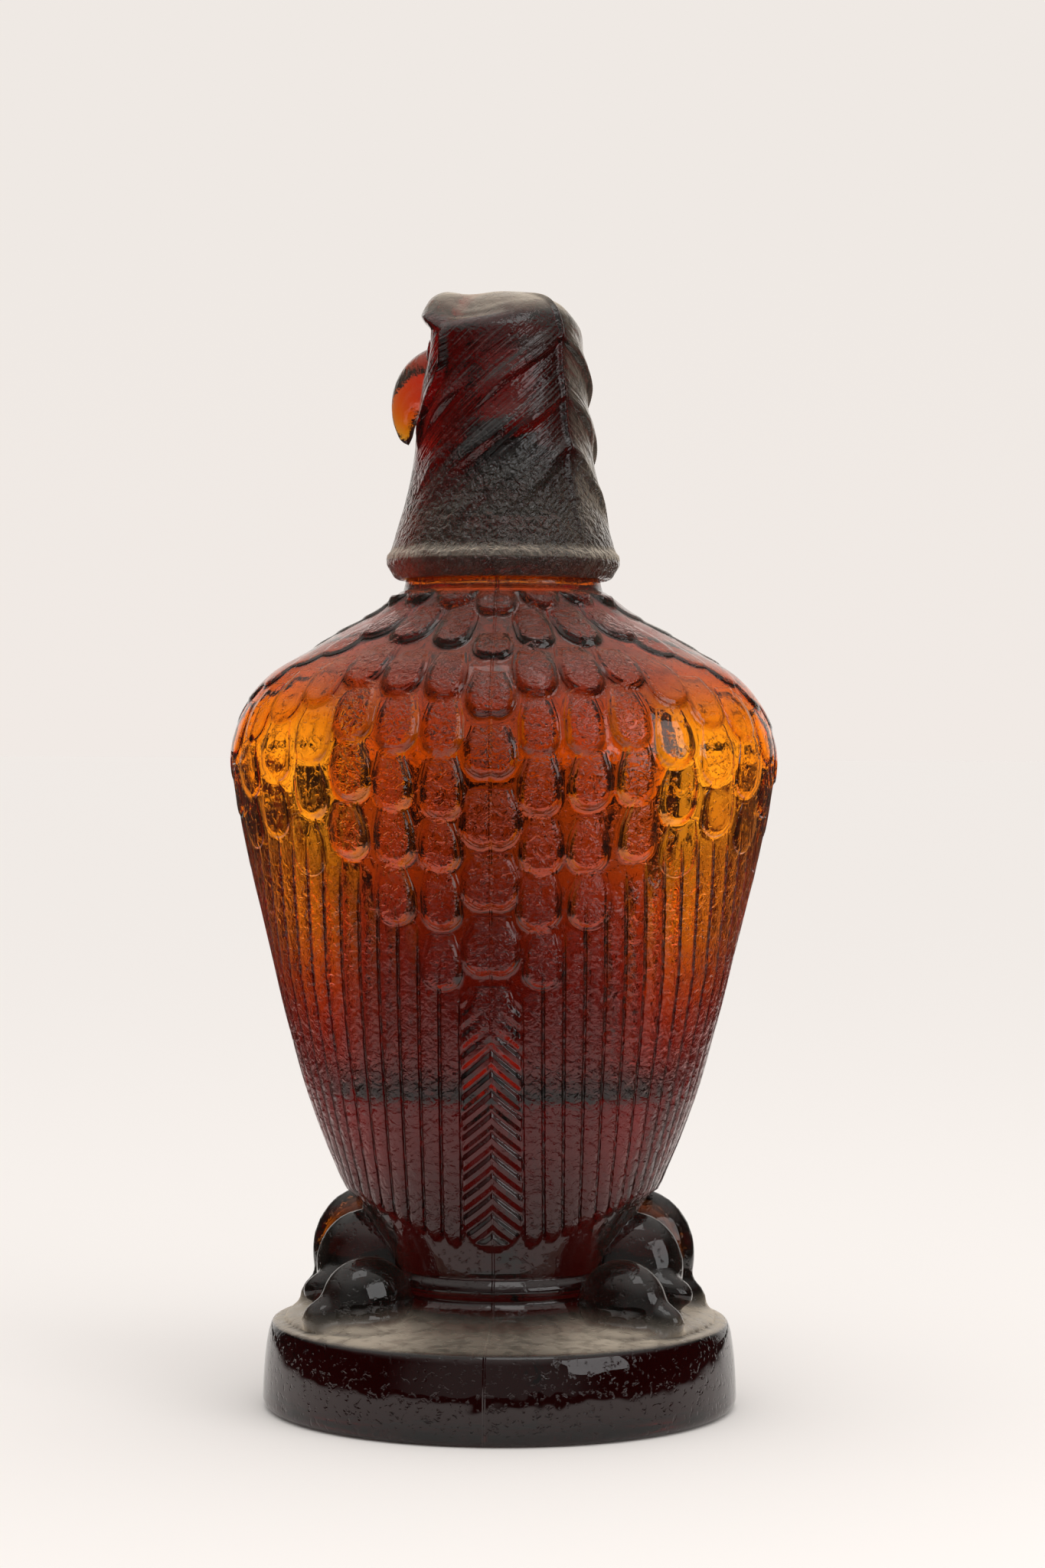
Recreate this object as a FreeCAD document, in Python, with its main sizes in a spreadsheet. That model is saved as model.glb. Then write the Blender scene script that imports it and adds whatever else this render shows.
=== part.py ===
"""A moulded glass decanter in the form of a perched eagle.

The bottle is one glass moulding: a round plinth, two gripping feet, the hollow
bird body and, above its shoulders, a collar with a narrower pouring neck.
A cork closes the neck.  The eagle's head is a thick glass cup, upside down,
that slips over the cork and neck and stands on a soft ring on the collar.

Millimetres, +Z up.  The origin is the centre of the plinth's underside, and
the bird's breast faces +Y, so its back faces -Y.
"""

import FreeCAD, Part
import Sketcher
import math
import os

from FreeCAD import Placement, Rotation, Vector

X_AXIS = Vector(1, 0, 0)
Y_AXIS = Vector(0, 1, 0)
Z_AXIS = Vector(0, 0, 1)

# Driving dimensions: name, value in millimetres or degrees, what it is
SIZES = [
    ("plinth_foot_dia", 130, "plinth diameter where it stands"),
    ("plinth_top_dia", 126, "plinth diameter at its upper edge"),
    ("plinth_height", 23.5, "height of the plinth's upper edge"),
    ("plinth_crown", 3, "rise of the plinth's top from its edge to the waist"),
    ("plinth_round", 2.5, "rounding of the plinth's two outer edges"),
    ("recess_depth", 3, "hollow under the plinth"),
    ("foot_ring_width", 10, "width of the ring that the plinth stands on"),
    ("waist_dia", 56, "narrowest place between plinth and body"),
    ("waist_spread", 9, "how far the waist flares at its foot"),
    ("waist_rise", 9, "narrowest place above the plinth's crown"),
    ("heel_dia", 62, "round lower end of the body"),
    ("heel_rise", 5, "lower end of the body above the waist"),
    ("hem_width", 72.5, "body where the long feathers end"),
    ("hem_depth", 60.5, "the same from breast to back"),
    ("hem_rise", 9, "above the body's lower end"),
    ("thigh_width", 93.4, "body at the thighs"),
    ("thigh_depth", 71, "the same from breast to back"),
    ("thigh_rise", 19, "above the hem"),
    ("flank_width", 117, "body at the flanks"),
    ("flank_depth", 88, "the same from breast to back"),
    ("flank_rise", 33.5, "above the thighs"),
    ("rib_width", 137.4, "body at the ribs"),
    ("rib_depth", 103, "the same from breast to back"),
    ("rib_rise", 43, "above the flanks"),
    ("wing_width", 148.4, "greatest width of the glass under the scales, across the folded wings"),
    ("wing_depth", 112, "the same from breast to back"),
    ("wing_rise", 34, "above the ribs"),
    ("shoulder_width", 128.8, "body at the shoulders"),
    ("shoulder_depth", 98.6, "the same from breast to back"),
    ("shoulder_rise", 20.5, "above the greatest width"),
    ("mantle_width", 88.4, "slope between shoulders and nape"),
    ("mantle_depth", 73.8, "the same from breast to back"),
    ("mantle_rise", 12.5, "above the shoulders"),
    ("nape_dia", 58, "round top of the body"),
    ("nape_rise", 10, "above the mantle"),
    ("breast_forward", 5, "how far the breast pushes wings and ribs towards +Y"),
    ("side_wall", 3.8, "glass at the wings, where it was blown furthest"),
    ("back_wall", 8, "glass at breast and back"),
    ("flank_side_wall", 12, "thicker glass at the sides of the flanks"),
    ("flank_back_wall", 17, "thicker glass at front and back of the flanks"),
    ("floor_thickness", 45, "solid glass between the body's lower end and its hollow"),
    ("floor_width", 40, "bottom of the hollow"),
    ("floor_depth", 28, "the same from breast to back"),
    ("collar_dia", 54, "tapered collar that the head slips over, at its foot"),
    ("collar_top_dia", 47, "the same collar at its top"),
    ("collar_height", 20, "collar above the nape"),
    ("collar_wall", 5.5, "glass of the collar"),
    ("ledge_thickness", 6, "glass under the collar's top face"),
    ("neck_dia", 29, "pouring neck"),
    ("neck_height", 20, "pouring neck above the collar"),
    ("lip_dia", 32, "bead at the mouth"),
    ("lip_height", 6, "height of the bead"),
    ("lip_round", 1.2, "rounding of the bead"),
    ("bore_dia", 19.5, "bore of the neck"),
    ("leg_reach", 17.2, "the leg's outer side stands this far out of the hem's side"),
    ("leg_root", 8, "the leg grows from this far inside the waist"),
    ("leg_depth", 17, "the leg from front to back"),
    ("leg_height", 37, "height of the leg's full egg shape"),
    ("leg_forward", 13, "the leg's middle stands this far in front of the axis"),
    ("leg_sink", 5, "leg and knuckle start this far inside the plinth"),
    ("knuckle_reach", 14.8, "the raised knuckle behind the leg stands this far out of the hem's side"),
    ("knuckle_root", 6, "the knuckle grows from this far inside the waist"),
    ("knuckle_depth", 17, "the knuckle from front to back"),
    ("knuckle_height", 32, "height of the knuckle's full egg shape"),
    ("knuckle_back", 3, "the knuckle's middle stands this far behind the axis"),
    ("toe_length", 33, "a toe along its length"),
    ("toe_width", 13, "a toe across"),
    ("toe_height", 17, "a toe's full height"),
    ("toe_inset", 5, "a toe's end stands this far inside the plinth's upper edge"),
    ("toe_sink", 3, "a toe's middle stands a quarter of its height, less this, above the crown"),
    ("hallux_length", 27, "the back toe along its length"),
    ("hallux_width", 17, "the back toe across"),
    ("hallux_height", 26, "the back toe's full height"),
    ("hallux_inset", 7, "the back toe's end stands this far inside the plinth's edge"),
    ("scale_width", 10.8, "a scale feather across"),
    ("scale_length", 14, "a scale feather along the fall of the plumage"),
    ("scale_rise", 1.8, "how far a scale feather stands out of the body"),
    ("scale_tilt", 5, "its tip stands out more than its root by this angle"),
    ("scale_step", 12.7, "from one column of scale feathers to the next, round the body"),
    ("scale_row", 15.5, "from one scale feather to the next below it"),
    ("scale_bare", 5.5, "highest tips below the nape, along the body"),
    ("scale_breast", 45, "scales end this far from the breast's middle, round the greatest width"),
    ("scale_end_sides", 33, "lowest tips at the sides, below the greatest width"),
    ("scale_end_back", 82, "lowest tip in the middle of the back, below the greatest width"),
    ("ring_thickness", 2, "soft ring that the head stands on"),
    ("ring_clearance", 0.3, "ring to neck, and ring inside the collar's edge"),
    ("head_facing", 48, "the head is turned this far to the bird's left"),
    ("skirt_depth", 18, "depth of the head's wide lower hollow, over the collar"),
    ("skirt_clearance", 0.6, "head to collar, all round"),
    ("skirt_wall", 4, "glass of the head round its skirt"),
    ("rim_bulge", 0.7, "how far the rim's band stands out"),
    ("rim_height", 6, "height of the band round the rim"),
    ("cheek_rise", 12, "head above the rim's band, where its skirt ends inside"),
    ("jaw_dia", 50, "head at the jaw"),
    ("jaw_rise", 14, "above the cheek"),
    ("temple_dia", 46.5, "head at the temples"),
    ("temple_rise", 20, "above the jaw"),
    ("brow_dia", 44.5, "head at the brow"),
    ("brow_rise", 16, "above the temples"),
    ("crown_dia", 33, "rounded edge of the crown"),
    ("crown_rise", 8, "above the brow"),
    ("top_dia", 16, "flat top of the crown"),
    ("top_rise", 3, "above the crown's edge"),
    ("cup_clearance", 1.2, "head to the neck's bead, all round"),
    ("cup_top_dia", 24, "top of the head's inner hollow"),
    ("cup_depth", 65, "depth of the head's hollow from its rim"),
    ("ridge_reach", 24, "brow ridge in front of the head's axis"),
    ("ridge_length", 25, "brow ridge from front to back"),
    ("ridge_width", 37, "brow ridge across the head"),
    ("ridge_height", 10, "brow ridge, its full height"),
    ("ridge_drop", 8.5, "middle of the ridge below the crown's top"),
    ("fold_width", 7, "a fold of the neck feathers across"),
    ("fold_rise", 1.2, "how far a fold stands out of the head"),
    ("fold_sink", 1.4, "the middle of a fold lies this far inside the head's surface"),
    ("fold_slope", 37, "folds run down from the nape at this angle"),
    ("beak_reach", 43, "foremost point of the beak from the head's axis"),
    ("beak_root_height", 22, "beak at its root, top to bottom"),
    ("beak_root_width", 15, "beak at its root, across"),
    ("beak_drop", 23, "middle of the beak's root below the crown's top"),
    ("beak_bend_height", 15, "beak where it bends down, measured across the bend"),
    ("beak_bend_width", 11, "the same from side to side"),
    ("beak_hook", 16, "tip of the beak below the middle of its root"),
    ("beak_tip_dia", 2.4, "blunt tip of the beak"),
    ("cork_clearance", 0.06, "cork to bore at the mouth"),
    ("cork_insertion", 15, "cork inside the neck"),
    ("cork_grip", 7, "cork above the mouth"),
    ("cork_bottom_dia", 17.9, "lower end of the tapered cork"),
    ("cork_round", 1, "rounding of the cork's ends"),
]

# Heights and radii that follow from the driving dimensions; _z from the table, _h from the head's rim
DERIVED = {
    "crown_z": "sizes.plinth_height + sizes.plinth_crown",
    "waist_z": "{crown_z} + sizes.waist_rise",
    "heel_z": "{waist_z} + sizes.heel_rise",
    "hem_z": "{heel_z} + sizes.hem_rise",
    "thigh_z": "{hem_z} + sizes.thigh_rise",
    "flank_z": "{thigh_z} + sizes.flank_rise",
    "rib_z": "{flank_z} + sizes.rib_rise",
    "wing_z": "{rib_z} + sizes.wing_rise",
    "shoulder_z": "{wing_z} + sizes.shoulder_rise",
    "mantle_z": "{shoulder_z} + sizes.mantle_rise",
    "nape_z": "{mantle_z} + sizes.nape_rise",
    "collar_z": "{nape_z} + sizes.collar_height",
    "mouth_z": "{collar_z} + sizes.neck_height",
    "seat_z": "{collar_z} + sizes.ring_thickness",
    "rim_z": "{seat_z} - sizes.skirt_depth",
    "collar_slope": "((sizes.collar_dia - sizes.collar_top_dia) / 2 / sizes.collar_height)",
    "skirt_top_r": "(sizes.collar_top_dia / 2 + sizes.skirt_clearance)",
    "skirt_r": "({skirt_top_r} + {collar_slope} * sizes.skirt_depth)",
    "rim_r": "({skirt_r} + sizes.skirt_wall)",
    "cheek_r": "({skirt_top_r} + sizes.skirt_wall)",
    "cup_r": "(sizes.lip_dia / 2 + sizes.cup_clearance)",
    "cheek_h": "sizes.rim_height + sizes.cheek_rise",
    "jaw_h": "{cheek_h} + sizes.jaw_rise",
    "temple_h": "{jaw_h} + sizes.temple_rise",
    "brow_h": "{temple_h} + sizes.brow_rise",
    "crown_h": "{brow_h} + sizes.crown_rise",
    "top_h": "{crown_h} + sizes.top_rise",
    "floor_z": "{heel_z} + sizes.floor_thickness",
    "cork_r": "(sizes.bore_dia / 2 - sizes.cork_clearance)",
}
LEVEL_STEP = 2  # the body is followed down its side in steps of this height
RING_POINTS = 360  # points round one level of the body
OVERLAP = 2  # joined solids reach this far into each other before they are fused
TINY = 1e-6  # lengths this close are the same length


def expand(text):
    """An expression with every {name} of DERIVED written out in sheet cells."""
    while "{" in text:
        text = text.format(**DERIVED)
    return text


def make_sheet(doc):
    """The spreadsheet that holds every driving dimension under its own name."""
    sheet = doc.addObject("Spreadsheet::Sheet", "sizes")
    for row, (name, value, meaning) in enumerate(SIZES, start=1):
        sheet.set(f"A{row}", meaning)
        sheet.set(f"B{row}", str(value))
        sheet.setAlias(f"B{row}", name)
    doc.recompute()
    return sheet


def value_of(sheet, text):
    """What an expression is worth now, as a plain number."""
    return float(sheet.evalExpression(expand(text)))


def bind(thing, **properties):
    """Ties properties of an object to expressions; __ in a name stands for a dot."""
    for name, text in properties.items():
        thing.setExpression(name.replace("__", "."), expand(text))
    return thing


def turned_body(doc, sheet, name, corners):
    """A body of revolution about Z.  corners are (radius, height) expressions, in order."""
    body = doc.addObject("PartDesign::Body", name)
    plane = next(f for f in body.Origin.OriginFeatures if f.Role == "XZ_Plane")
    sketch = body.newObject("Sketcher::SketchObject", name + "_profile")
    sketch.AttachmentSupport = [(plane, "")]
    sketch.MapMode = "FlatFace"
    points = [Vector(value_of(sheet, r), value_of(sheet, h), 0) for r, h in corners]
    count = len(points)
    for i in range(count):
        sketch.addGeometry(Part.LineSegment(points[i], points[(i + 1) % count]), False)
    for i in range(count):
        join = Sketcher.Constraint("Coincident", i, 2, (i + 1) % count, 1)
        sketch.addConstraint(join)
    for i, (radius, height) in enumerate(corners):
        for kind, text, axis in (("DistanceX", radius, -2), ("DistanceY", height, -1)):
            if text == "0":
                sketch.addConstraint(Sketcher.Constraint("PointOnObject", i, 1, axis))
                continue
            number = value_of(sheet, text)
            at = sketch.addConstraint(Sketcher.Constraint(kind, -1, 1, i, 1, number))
            sketch.setExpression(f"Constraints[{at}]", expand(text))
    turn = body.newObject("PartDesign::Revolution", name + "_turned")
    turn.Profile = sketch
    turn.ReferenceAxis = (sketch, ["V_Axis"])
    turn.Angle = 360
    doc.recompute()
    return body


def circle_name(shape, radius, height):
    """The name of a shape's level circular edge about Z with this radius and height."""
    for number, edge in enumerate(shape.Edges, start=1):
        box = edge.BoundBox
        level = box.ZLength < TINY and abs(box.ZMin - height) < TINY
        if level and abs(box.XMax - radius) < TINY:
            return f"Edge{number}"
    raise RuntimeError(f"no edge of radius {radius} at height {height}")


def oval(doc, name, width, depth, height, forward="0"):
    """An ellipse across the Z axis, wider along X, at a height and moved along Y."""
    ring = doc.addObject("Part::Ellipse", name)
    bind(ring, MajorRadius=f"({width}) / 2", MinorRadius=f"({depth}) / 2")
    return bind(ring, Placement__Base__y=forward, Placement__Base__z=height)


def loft(doc, name, rings):
    """A smooth solid through closed outlines."""
    made = doc.addObject("Part::Loft", name)
    made.Sections = rings
    made.Solid = True
    made.Ruled = False
    return made


def egg(doc, name, lengths, middle, turn="0"):
    """An ellipsoid: lengths along X, Y and Z, its middle, and its turn about Z."""
    made = doc.addObject("Part::Ellipsoid", name)
    bind(made, Radius2=f"({lengths[0]}) / 2", Radius3=f"({lengths[1]}) / 2")
    bind(made, Radius1=f"({lengths[2]}) / 2")
    made.Placement = Placement(Vector(), Rotation(Z_AXIS, 1))
    bind(made, Placement__Base__x=middle[0], Placement__Base__y=middle[1])
    bind(made, Placement__Base__z=middle[2], Placement__Rotation__Angle=turn)
    return made


def blister(doc, name, lengths, point, across, up, tilt=0):
    """A flat ellipsoid partly sunk in a surface: its lengths across and up, half its thickness, its
    middle, its ways across and up the surface, and how far its upper end leans out."""
    made = doc.addObject("Part::Ellipsoid", name)
    bind(made, Radius2=f"({lengths[0]}) / 2", Radius3=f"({lengths[1]}) / 2", Radius1=lengths[2])
    lean = Rotation(X_AXIS, tilt)
    made.Placement = Placement(point, Rotation(across, up, across.cross(up), "ZYX") * lean)
    return made


def fuse(doc, name, pieces):
    """One solid from overlapping ones."""
    made = doc.addObject("Part::MultiFuse", name)
    made.Shapes = pieces
    made.Refine = False
    return made


def cut(doc, name, base, tool):
    """The first solid with the second taken out of it."""
    made = doc.addObject("Part::Cut", name)
    made.Base = base
    made.Tool = tool
    made.Refine = False
    return made


# Body outline of the bird, from its lower end upwards, with each station's share of the
# breast's push
STATIONS = {
    "hem": 0,
    "thigh": 0.25,
    "flank": 0.6,
    "rib": 1,
    "wing": 1,
    "shoulder": 0.6,
    "mantle": 0.25,
}
HOLLOW_STATIONS = ("flank", "rib", "wing", "shoulder", "mantle")


def push(name):
    """How far a station of the body stands in front of the axis."""
    return f"{STATIONS[name]} * sizes.breast_forward"


def bird_body(doc):
    """The solid bird between waist and collar."""
    rings = [oval(doc, "heel_ring", "sizes.heel_dia", "sizes.heel_dia", "{heel_z}")]
    for name in STATIONS:
        width = f"sizes.{name}_width"
        depth = f"sizes.{name}_depth"
        rings.append(oval(doc, name + "_ring", width, depth, f"{{{name}_z}}", push(name)))
    rings.append(oval(doc, "nape_ring", "sizes.nape_dia", "sizes.nape_dia", "{nape_z}"))
    return loft(doc, "bird_body", rings)


def bird_hollow(doc):
    """The space inside the bird, with its thin glass at the wings."""
    rings = [oval(doc, "floor_hollow", "sizes.floor_width", "sizes.floor_depth", "{floor_z}")]
    for name in HOLLOW_STATIONS:
        wall = "flank_" if name == "flank" else ""
        width = f"sizes.{name}_width - 2 * sizes.{wall}side_wall"
        depth = f"sizes.{name}_depth - 2 * sizes.{wall}back_wall"
        rings.append(oval(doc, name + "_hollow", width, depth, f"{{{name}_z}}", push(name)))
    throat = "sizes.collar_dia - 2 * sizes.collar_wall"
    rings.append(oval(doc, "throat_hollow", throat, throat, "{nape_z}"))
    return loft(doc, "bird_hollow", rings)


def plinth(doc, sheet):
    """The round plinth with its flared waist, solid but for a shallow hollow underneath."""
    ring_r = "sizes.plinth_foot_dia / 2 - sizes.foot_ring_width"
    body = turned_body(doc, sheet, "plinth", [
        ("0", "sizes.recess_depth"),
        (f"{ring_r} - sizes.recess_depth", "sizes.recess_depth"),
        (ring_r, "0"),
        ("sizes.plinth_foot_dia / 2", "0"),
        ("sizes.plinth_top_dia / 2", "sizes.plinth_height"),
        ("sizes.waist_dia / 2 + sizes.waist_spread", "{crown_z}"),
        ("sizes.waist_dia / 2", "{waist_z}"),
        ("sizes.heel_dia / 2", "{heel_z}"),
        ("0", "{heel_z}"),
    ])
    turned = body.Tip
    rims = [
        (value_of(sheet, "sizes.plinth_foot_dia / 2"), 0),
        (value_of(sheet, "sizes.plinth_top_dia / 2"), value_of(sheet, "sizes.plinth_height")),
    ]
    rounded = body.newObject("PartDesign::Fillet", "plinth_edges")
    rounded.Base = (turned, [circle_name(turned.Shape, radius, height) for radius, height in rims])
    bind(rounded, Radius="sizes.plinth_round")
    doc.recompute()
    return body


def neck(doc, sheet):
    """The collar and the pouring neck, still solid."""
    return turned_body(doc, sheet, "neck", [
        ("0", f"{{nape_z}} - {OVERLAP}"),
        ("sizes.collar_dia / 2", f"{{nape_z}} - {OVERLAP}"),
        ("sizes.collar_dia / 2", "{nape_z}"),
        ("sizes.collar_top_dia / 2", "{collar_z}"),
        ("sizes.neck_dia / 2", "{collar_z}"),
        ("sizes.neck_dia / 2", "{mouth_z} - sizes.lip_height"),
        ("sizes.lip_dia / 2", "{mouth_z} - sizes.lip_height + sizes.lip_round"),
        ("sizes.lip_dia / 2", "{mouth_z} - sizes.lip_round"),
        ("sizes.lip_dia / 2 - sizes.lip_round", "{mouth_z}"),
        ("0", "{mouth_z}"),
    ])


def neck_hollow(doc, sheet):
    """The way from the bird's hollow through collar and neck to the mouth."""
    throat_r = "(sizes.collar_dia / 2 - sizes.collar_wall)"
    ceiling = "{collar_z} - sizes.ledge_thickness"
    return turned_body(doc, sheet, "neck_hollow", [
        ("0", f"{{nape_z}} - {OVERLAP}"),
        (throat_r, f"{{nape_z}} - {OVERLAP}"),
        (throat_r, f"{ceiling} - ({throat_r} - sizes.bore_dia / 2) / 2"),
        ("sizes.bore_dia / 2", ceiling),
        ("sizes.bore_dia / 2", f"{{mouth_z}} + {OVERLAP}"),
        ("0", f"{{mouth_z}} + {OVERLAP}"),
    ])


def level_ring(shape, height):
    """A shape's outline at one height: evenly spaced points from the middle of the back round by its
    right side, and the outline's length."""
    outline = max(shape.slice(Z_AXIS, height), key=lambda wire: wire.Length)
    points = outline.discretize(Number=RING_POINTS + 1)[:-1]
    back = min(range(RING_POINTS), key=lambda i: points[i].y)
    points = points[back:] + points[:back]
    if points[1].x < 0:
        points = points[:1] + points[:0:-1]
    return points, outline.Length


def along_ring(ring, arc):
    """The point at a distance from the middle of the back, measured round a level ring."""
    points, length = ring
    place = arc / length * RING_POINTS
    number = int(place)
    here = points[number % RING_POINTS]
    return here + (points[(number + 1) % RING_POINTS] - here) * (place - number)


def walk(line, distance):
    """The point this far along a line of points, and the way on from there; None past its end."""
    for here, there in zip(line, line[1:]):
        step = there - here
        if distance <= step.Length:
            return here + step * (distance / step.Length), step / step.Length
        distance -= step.Length
    return None


def scale_places(sheet, shape):
    """Where scale feathers lie on the back and the right wing: middle, way across and way up."""
    names = ("step", "row", "length", "width", "bare", "breast")
    step, row, length, width, bare, breast = (value_of(sheet, f"sizes.scale_{name}") for name in names)
    top = value_of(sheet, "{nape_z}")
    side_end = value_of(sheet, "{wing_z} - sizes.scale_end_sides")
    back_end = value_of(sheet, "{wing_z} - sizes.scale_end_back")
    levels = int((top - back_end) / LEVEL_STEP) + 1
    rings = [level_ring(shape, top - LEVEL_STEP * (i + 0.5)) for i in range(levels)]
    greatest = max(girth for points, girth in rings)
    places = []
    for column in range(int(greatest / 2 / step)):
        arc = column * step
        line = [along_ring(ring, arc) for ring in rings if arc < ring[1] / 2]
        end = side_end - (side_end - back_end) * max(0, 1 - column / 5) ** 2
        pitch = row if column else 1.1 * row
        tip = bare + (row / 2 if column > 3 and column % 2 == 0 else 0) + (0 if column else row / 5)
        while walk(line, tip):
            lowest, way = walk(line, tip)
            if tip > length / 2 and lowest.z > end:
                middle, way = walk(line, tip - length / 2)
                ring = rings[min(int((top - middle.z) / LEVEL_STEP), levels - 1)]
                if arc < ring[1] / 2 - breast * ring[1] / greatest - width / 2:
                    across = along_ring(ring, arc + 1) - along_ring(ring, arc)
                    places.append((middle, across.normalize(), way * -1))
            tip += pitch
    return places


def mirrored(vector):
    """The same on the bird's other side."""
    return Vector(-vector.x, vector.y, vector.z)


def plumage(doc, sheet, body):
    """Scale feathers on back and wings, from the nape down to where the long feathers start."""
    doc.recompute()
    tilt = -value_of(sheet, "sizes.scale_tilt")
    size = ("sizes.scale_width", "sizes.scale_length", "sizes.scale_rise")
    pieces = []
    for number, (middle, across, up) in enumerate(scale_places(sheet, body.Shape), start=1):
        pieces.append(blister(doc, f"scale_{number}", size, middle, across, up, tilt))
        if middle.x > value_of(sheet, "sizes.scale_width") / 2:
            other = (mirrored(middle), mirrored(across) * -1, mirrored(up))
            pieces.append(blister(doc, f"scale_{number}_left", size, *other, tilt))
    return pieces


# Each foot's toes, inner one first and back toe last: where a toe lies on the plinth and
# which way it points, both as angles from straight ahead towards the bird's side
TOES = [
    (32, 10, "toe"),
    (54, 42, "toe"),
    (78, 76, "toe"),
    (123, 123, "hallux"),
]


def foot(doc, side, sign):
    """A leg with its knuckle, three front toes and a back toe, standing on the plinth."""
    pieces = []
    for name, y in (("leg", "sizes.leg_forward"), ("knuckle", "-sizes.knuckle_back")):
        outer = f"(sizes.hem_width / 2 + sizes.{name}_reach)"
        inner = f"(sizes.waist_dia / 2 - sizes.{name}_root)"
        x = f"{sign} * ({outer} + {inner}) / 2"
        z = f"{{crown_z}} - sizes.leg_sink + sizes.{name}_height / 2"
        size = (f"{outer} - {inner}", f"sizes.{name}_depth", f"sizes.{name}_height")
        pieces.append(egg(doc, f"{side}_{name}", size, (x, y, z)))
    edge_r = "sizes.plinth_top_dia / 2"
    for number, (place, heading, kind) in enumerate(TOES, start=1):
        length = f"sizes.{kind}_length"
        reach = f"({edge_r} - sizes.{kind}_inset - {length} / 2)"
        middle = (
            f"{sign} * {reach} * sin({place} deg)",
            f"{reach} * cos({place} deg)",
            f"{{crown_z}} - sizes.toe_sink + sizes.{kind}_height / 4",
        )
        size = (f"sizes.{kind}_width", length, f"sizes.{kind}_height")
        pieces.append(egg(doc, f"{side}_toe_{number}", size, middle, f"{-sign * heading} deg"))
    return pieces


def bottle(doc, sheet):
    """The whole glass moulding under the head."""
    body = bird_body(doc)
    solid = [plinth(doc, sheet), body, neck(doc, sheet)] + plumage(doc, sheet, body)
    for side, sign in (("left", -1), ("right", 1)):
        solid += foot(doc, side, sign)
    outside = fuse(doc, "bottle_outside", solid)
    inside = fuse(doc, "bottle_inside", [bird_hollow(doc), neck_hollow(doc, sheet)])
    made = cut(doc, "bottle", outside, inside)
    made.Label = "bottle"
    return made


def skull(doc):
    """The head without brow ridge and beak, measured from its rim upwards."""
    rim = "2 * {rim_r}"
    band = "2 * ({rim_r} + sizes.rim_bulge)"
    rings = [
        oval(doc, "rim_ring", rim, rim, "0"),
        oval(doc, "band_ring", band, band, "sizes.rim_height"),
        oval(doc, "cheek_ring", "2 * {cheek_r}", "2 * {cheek_r}", "{cheek_h}"),
    ]
    for name in ("jaw", "temple", "brow", "crown", "top"):
        across = f"sizes.{name}_dia"
        rings.append(oval(doc, name + "_ring", across, across, f"{{{name}_h}}"))
    return loft(doc, "skull", rings)


def beak(doc):
    """The hooked beak: four ovals from the root, over the bend, to the tip."""
    root_z = "({top_h} - sizes.beak_drop)"
    inner_x = "(sizes.brow_dia / 2 - sizes.beak_bend_height / 2)"
    bend_x = "(sizes.beak_reach - sizes.beak_bend_height / 2)"
    tip_x = "(sizes.beak_reach - 1.5 * sizes.beak_tip_dia)"
    # name, x, z, slope of the oval's plane from upright, height and width
    root = ("sizes.beak_root_height", "sizes.beak_root_width")
    bend = ("sizes.beak_bend_height", "sizes.beak_bend_width")
    tip = ("sizes.beak_tip_dia", "sizes.beak_tip_dia")
    ovals = [
        ("inner", inner_x, root_z, 0, root),
        ("root", "sizes.brow_dia / 2", root_z, 8, root),
        ("bend", bend_x, f"{root_z} - sizes.beak_hook / 8", 48, bend),
        ("tip", tip_x, f"{root_z} - sizes.beak_hook", 80, tip),
    ]
    rings = []
    for name, x, z, slope, (height, width) in ovals:
        ring = doc.addObject("Part::Ellipse", "beak_" + name)
        bind(ring, MajorRadius=f"{height} / 2", MinorRadius=f"{width} / 2")
        upright = Rotation(Y_AXIS, -90)
        ring.Placement = Placement(Vector(), Rotation(Y_AXIS, slope) * upright)
        bind(ring, Placement__Base__x=x, Placement__Base__z=z)
        rings.append(ring)
    return loft(doc, "beak", rings)


# Folds of the neck feathers on each side of the nape: distance from the nape round the head,
# height above the rim and length
NECK_FOLDS = [(27, 33, 20), (17, 53, 17), (12, 24, 17), (36, 46, 15), (30, 19, 17), (8, 41, 15)]


def neck_folds(doc, sheet, skin):
    """The main folds of the long feathers on the head's sides and nape."""
    doc.recompute()
    slope = math.radians(value_of(sheet, "sizes.fold_slope"))
    sink = value_of(sheet, "sizes.fold_sink")
    pieces = []
    for number, (behind, height, length) in enumerate(NECK_FOLDS, start=1):
        radius = level_ring(skin.Shape, height)[1] / math.tau
        for side, sign in (("left", -1), ("right", 1)):
            angle = math.pi + sign * behind / radius
            outwards = Vector(math.cos(angle), math.sin(angle), 0)
            point = outwards * (radius - sink) + Z_AXIS * height
            round_way = Vector(-math.sin(angle), math.cos(angle), 0)
            along = round_way * (-sign * math.cos(slope)) + Z_AXIS * math.sin(slope)
            size = ("sizes.fold_width", f"{length}", "sizes.fold_rise + sizes.fold_sink")
            pieces.append(blister(doc, f"fold_{number}_{side}", size, point, along.cross(outwards), along))
    return pieces


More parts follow.
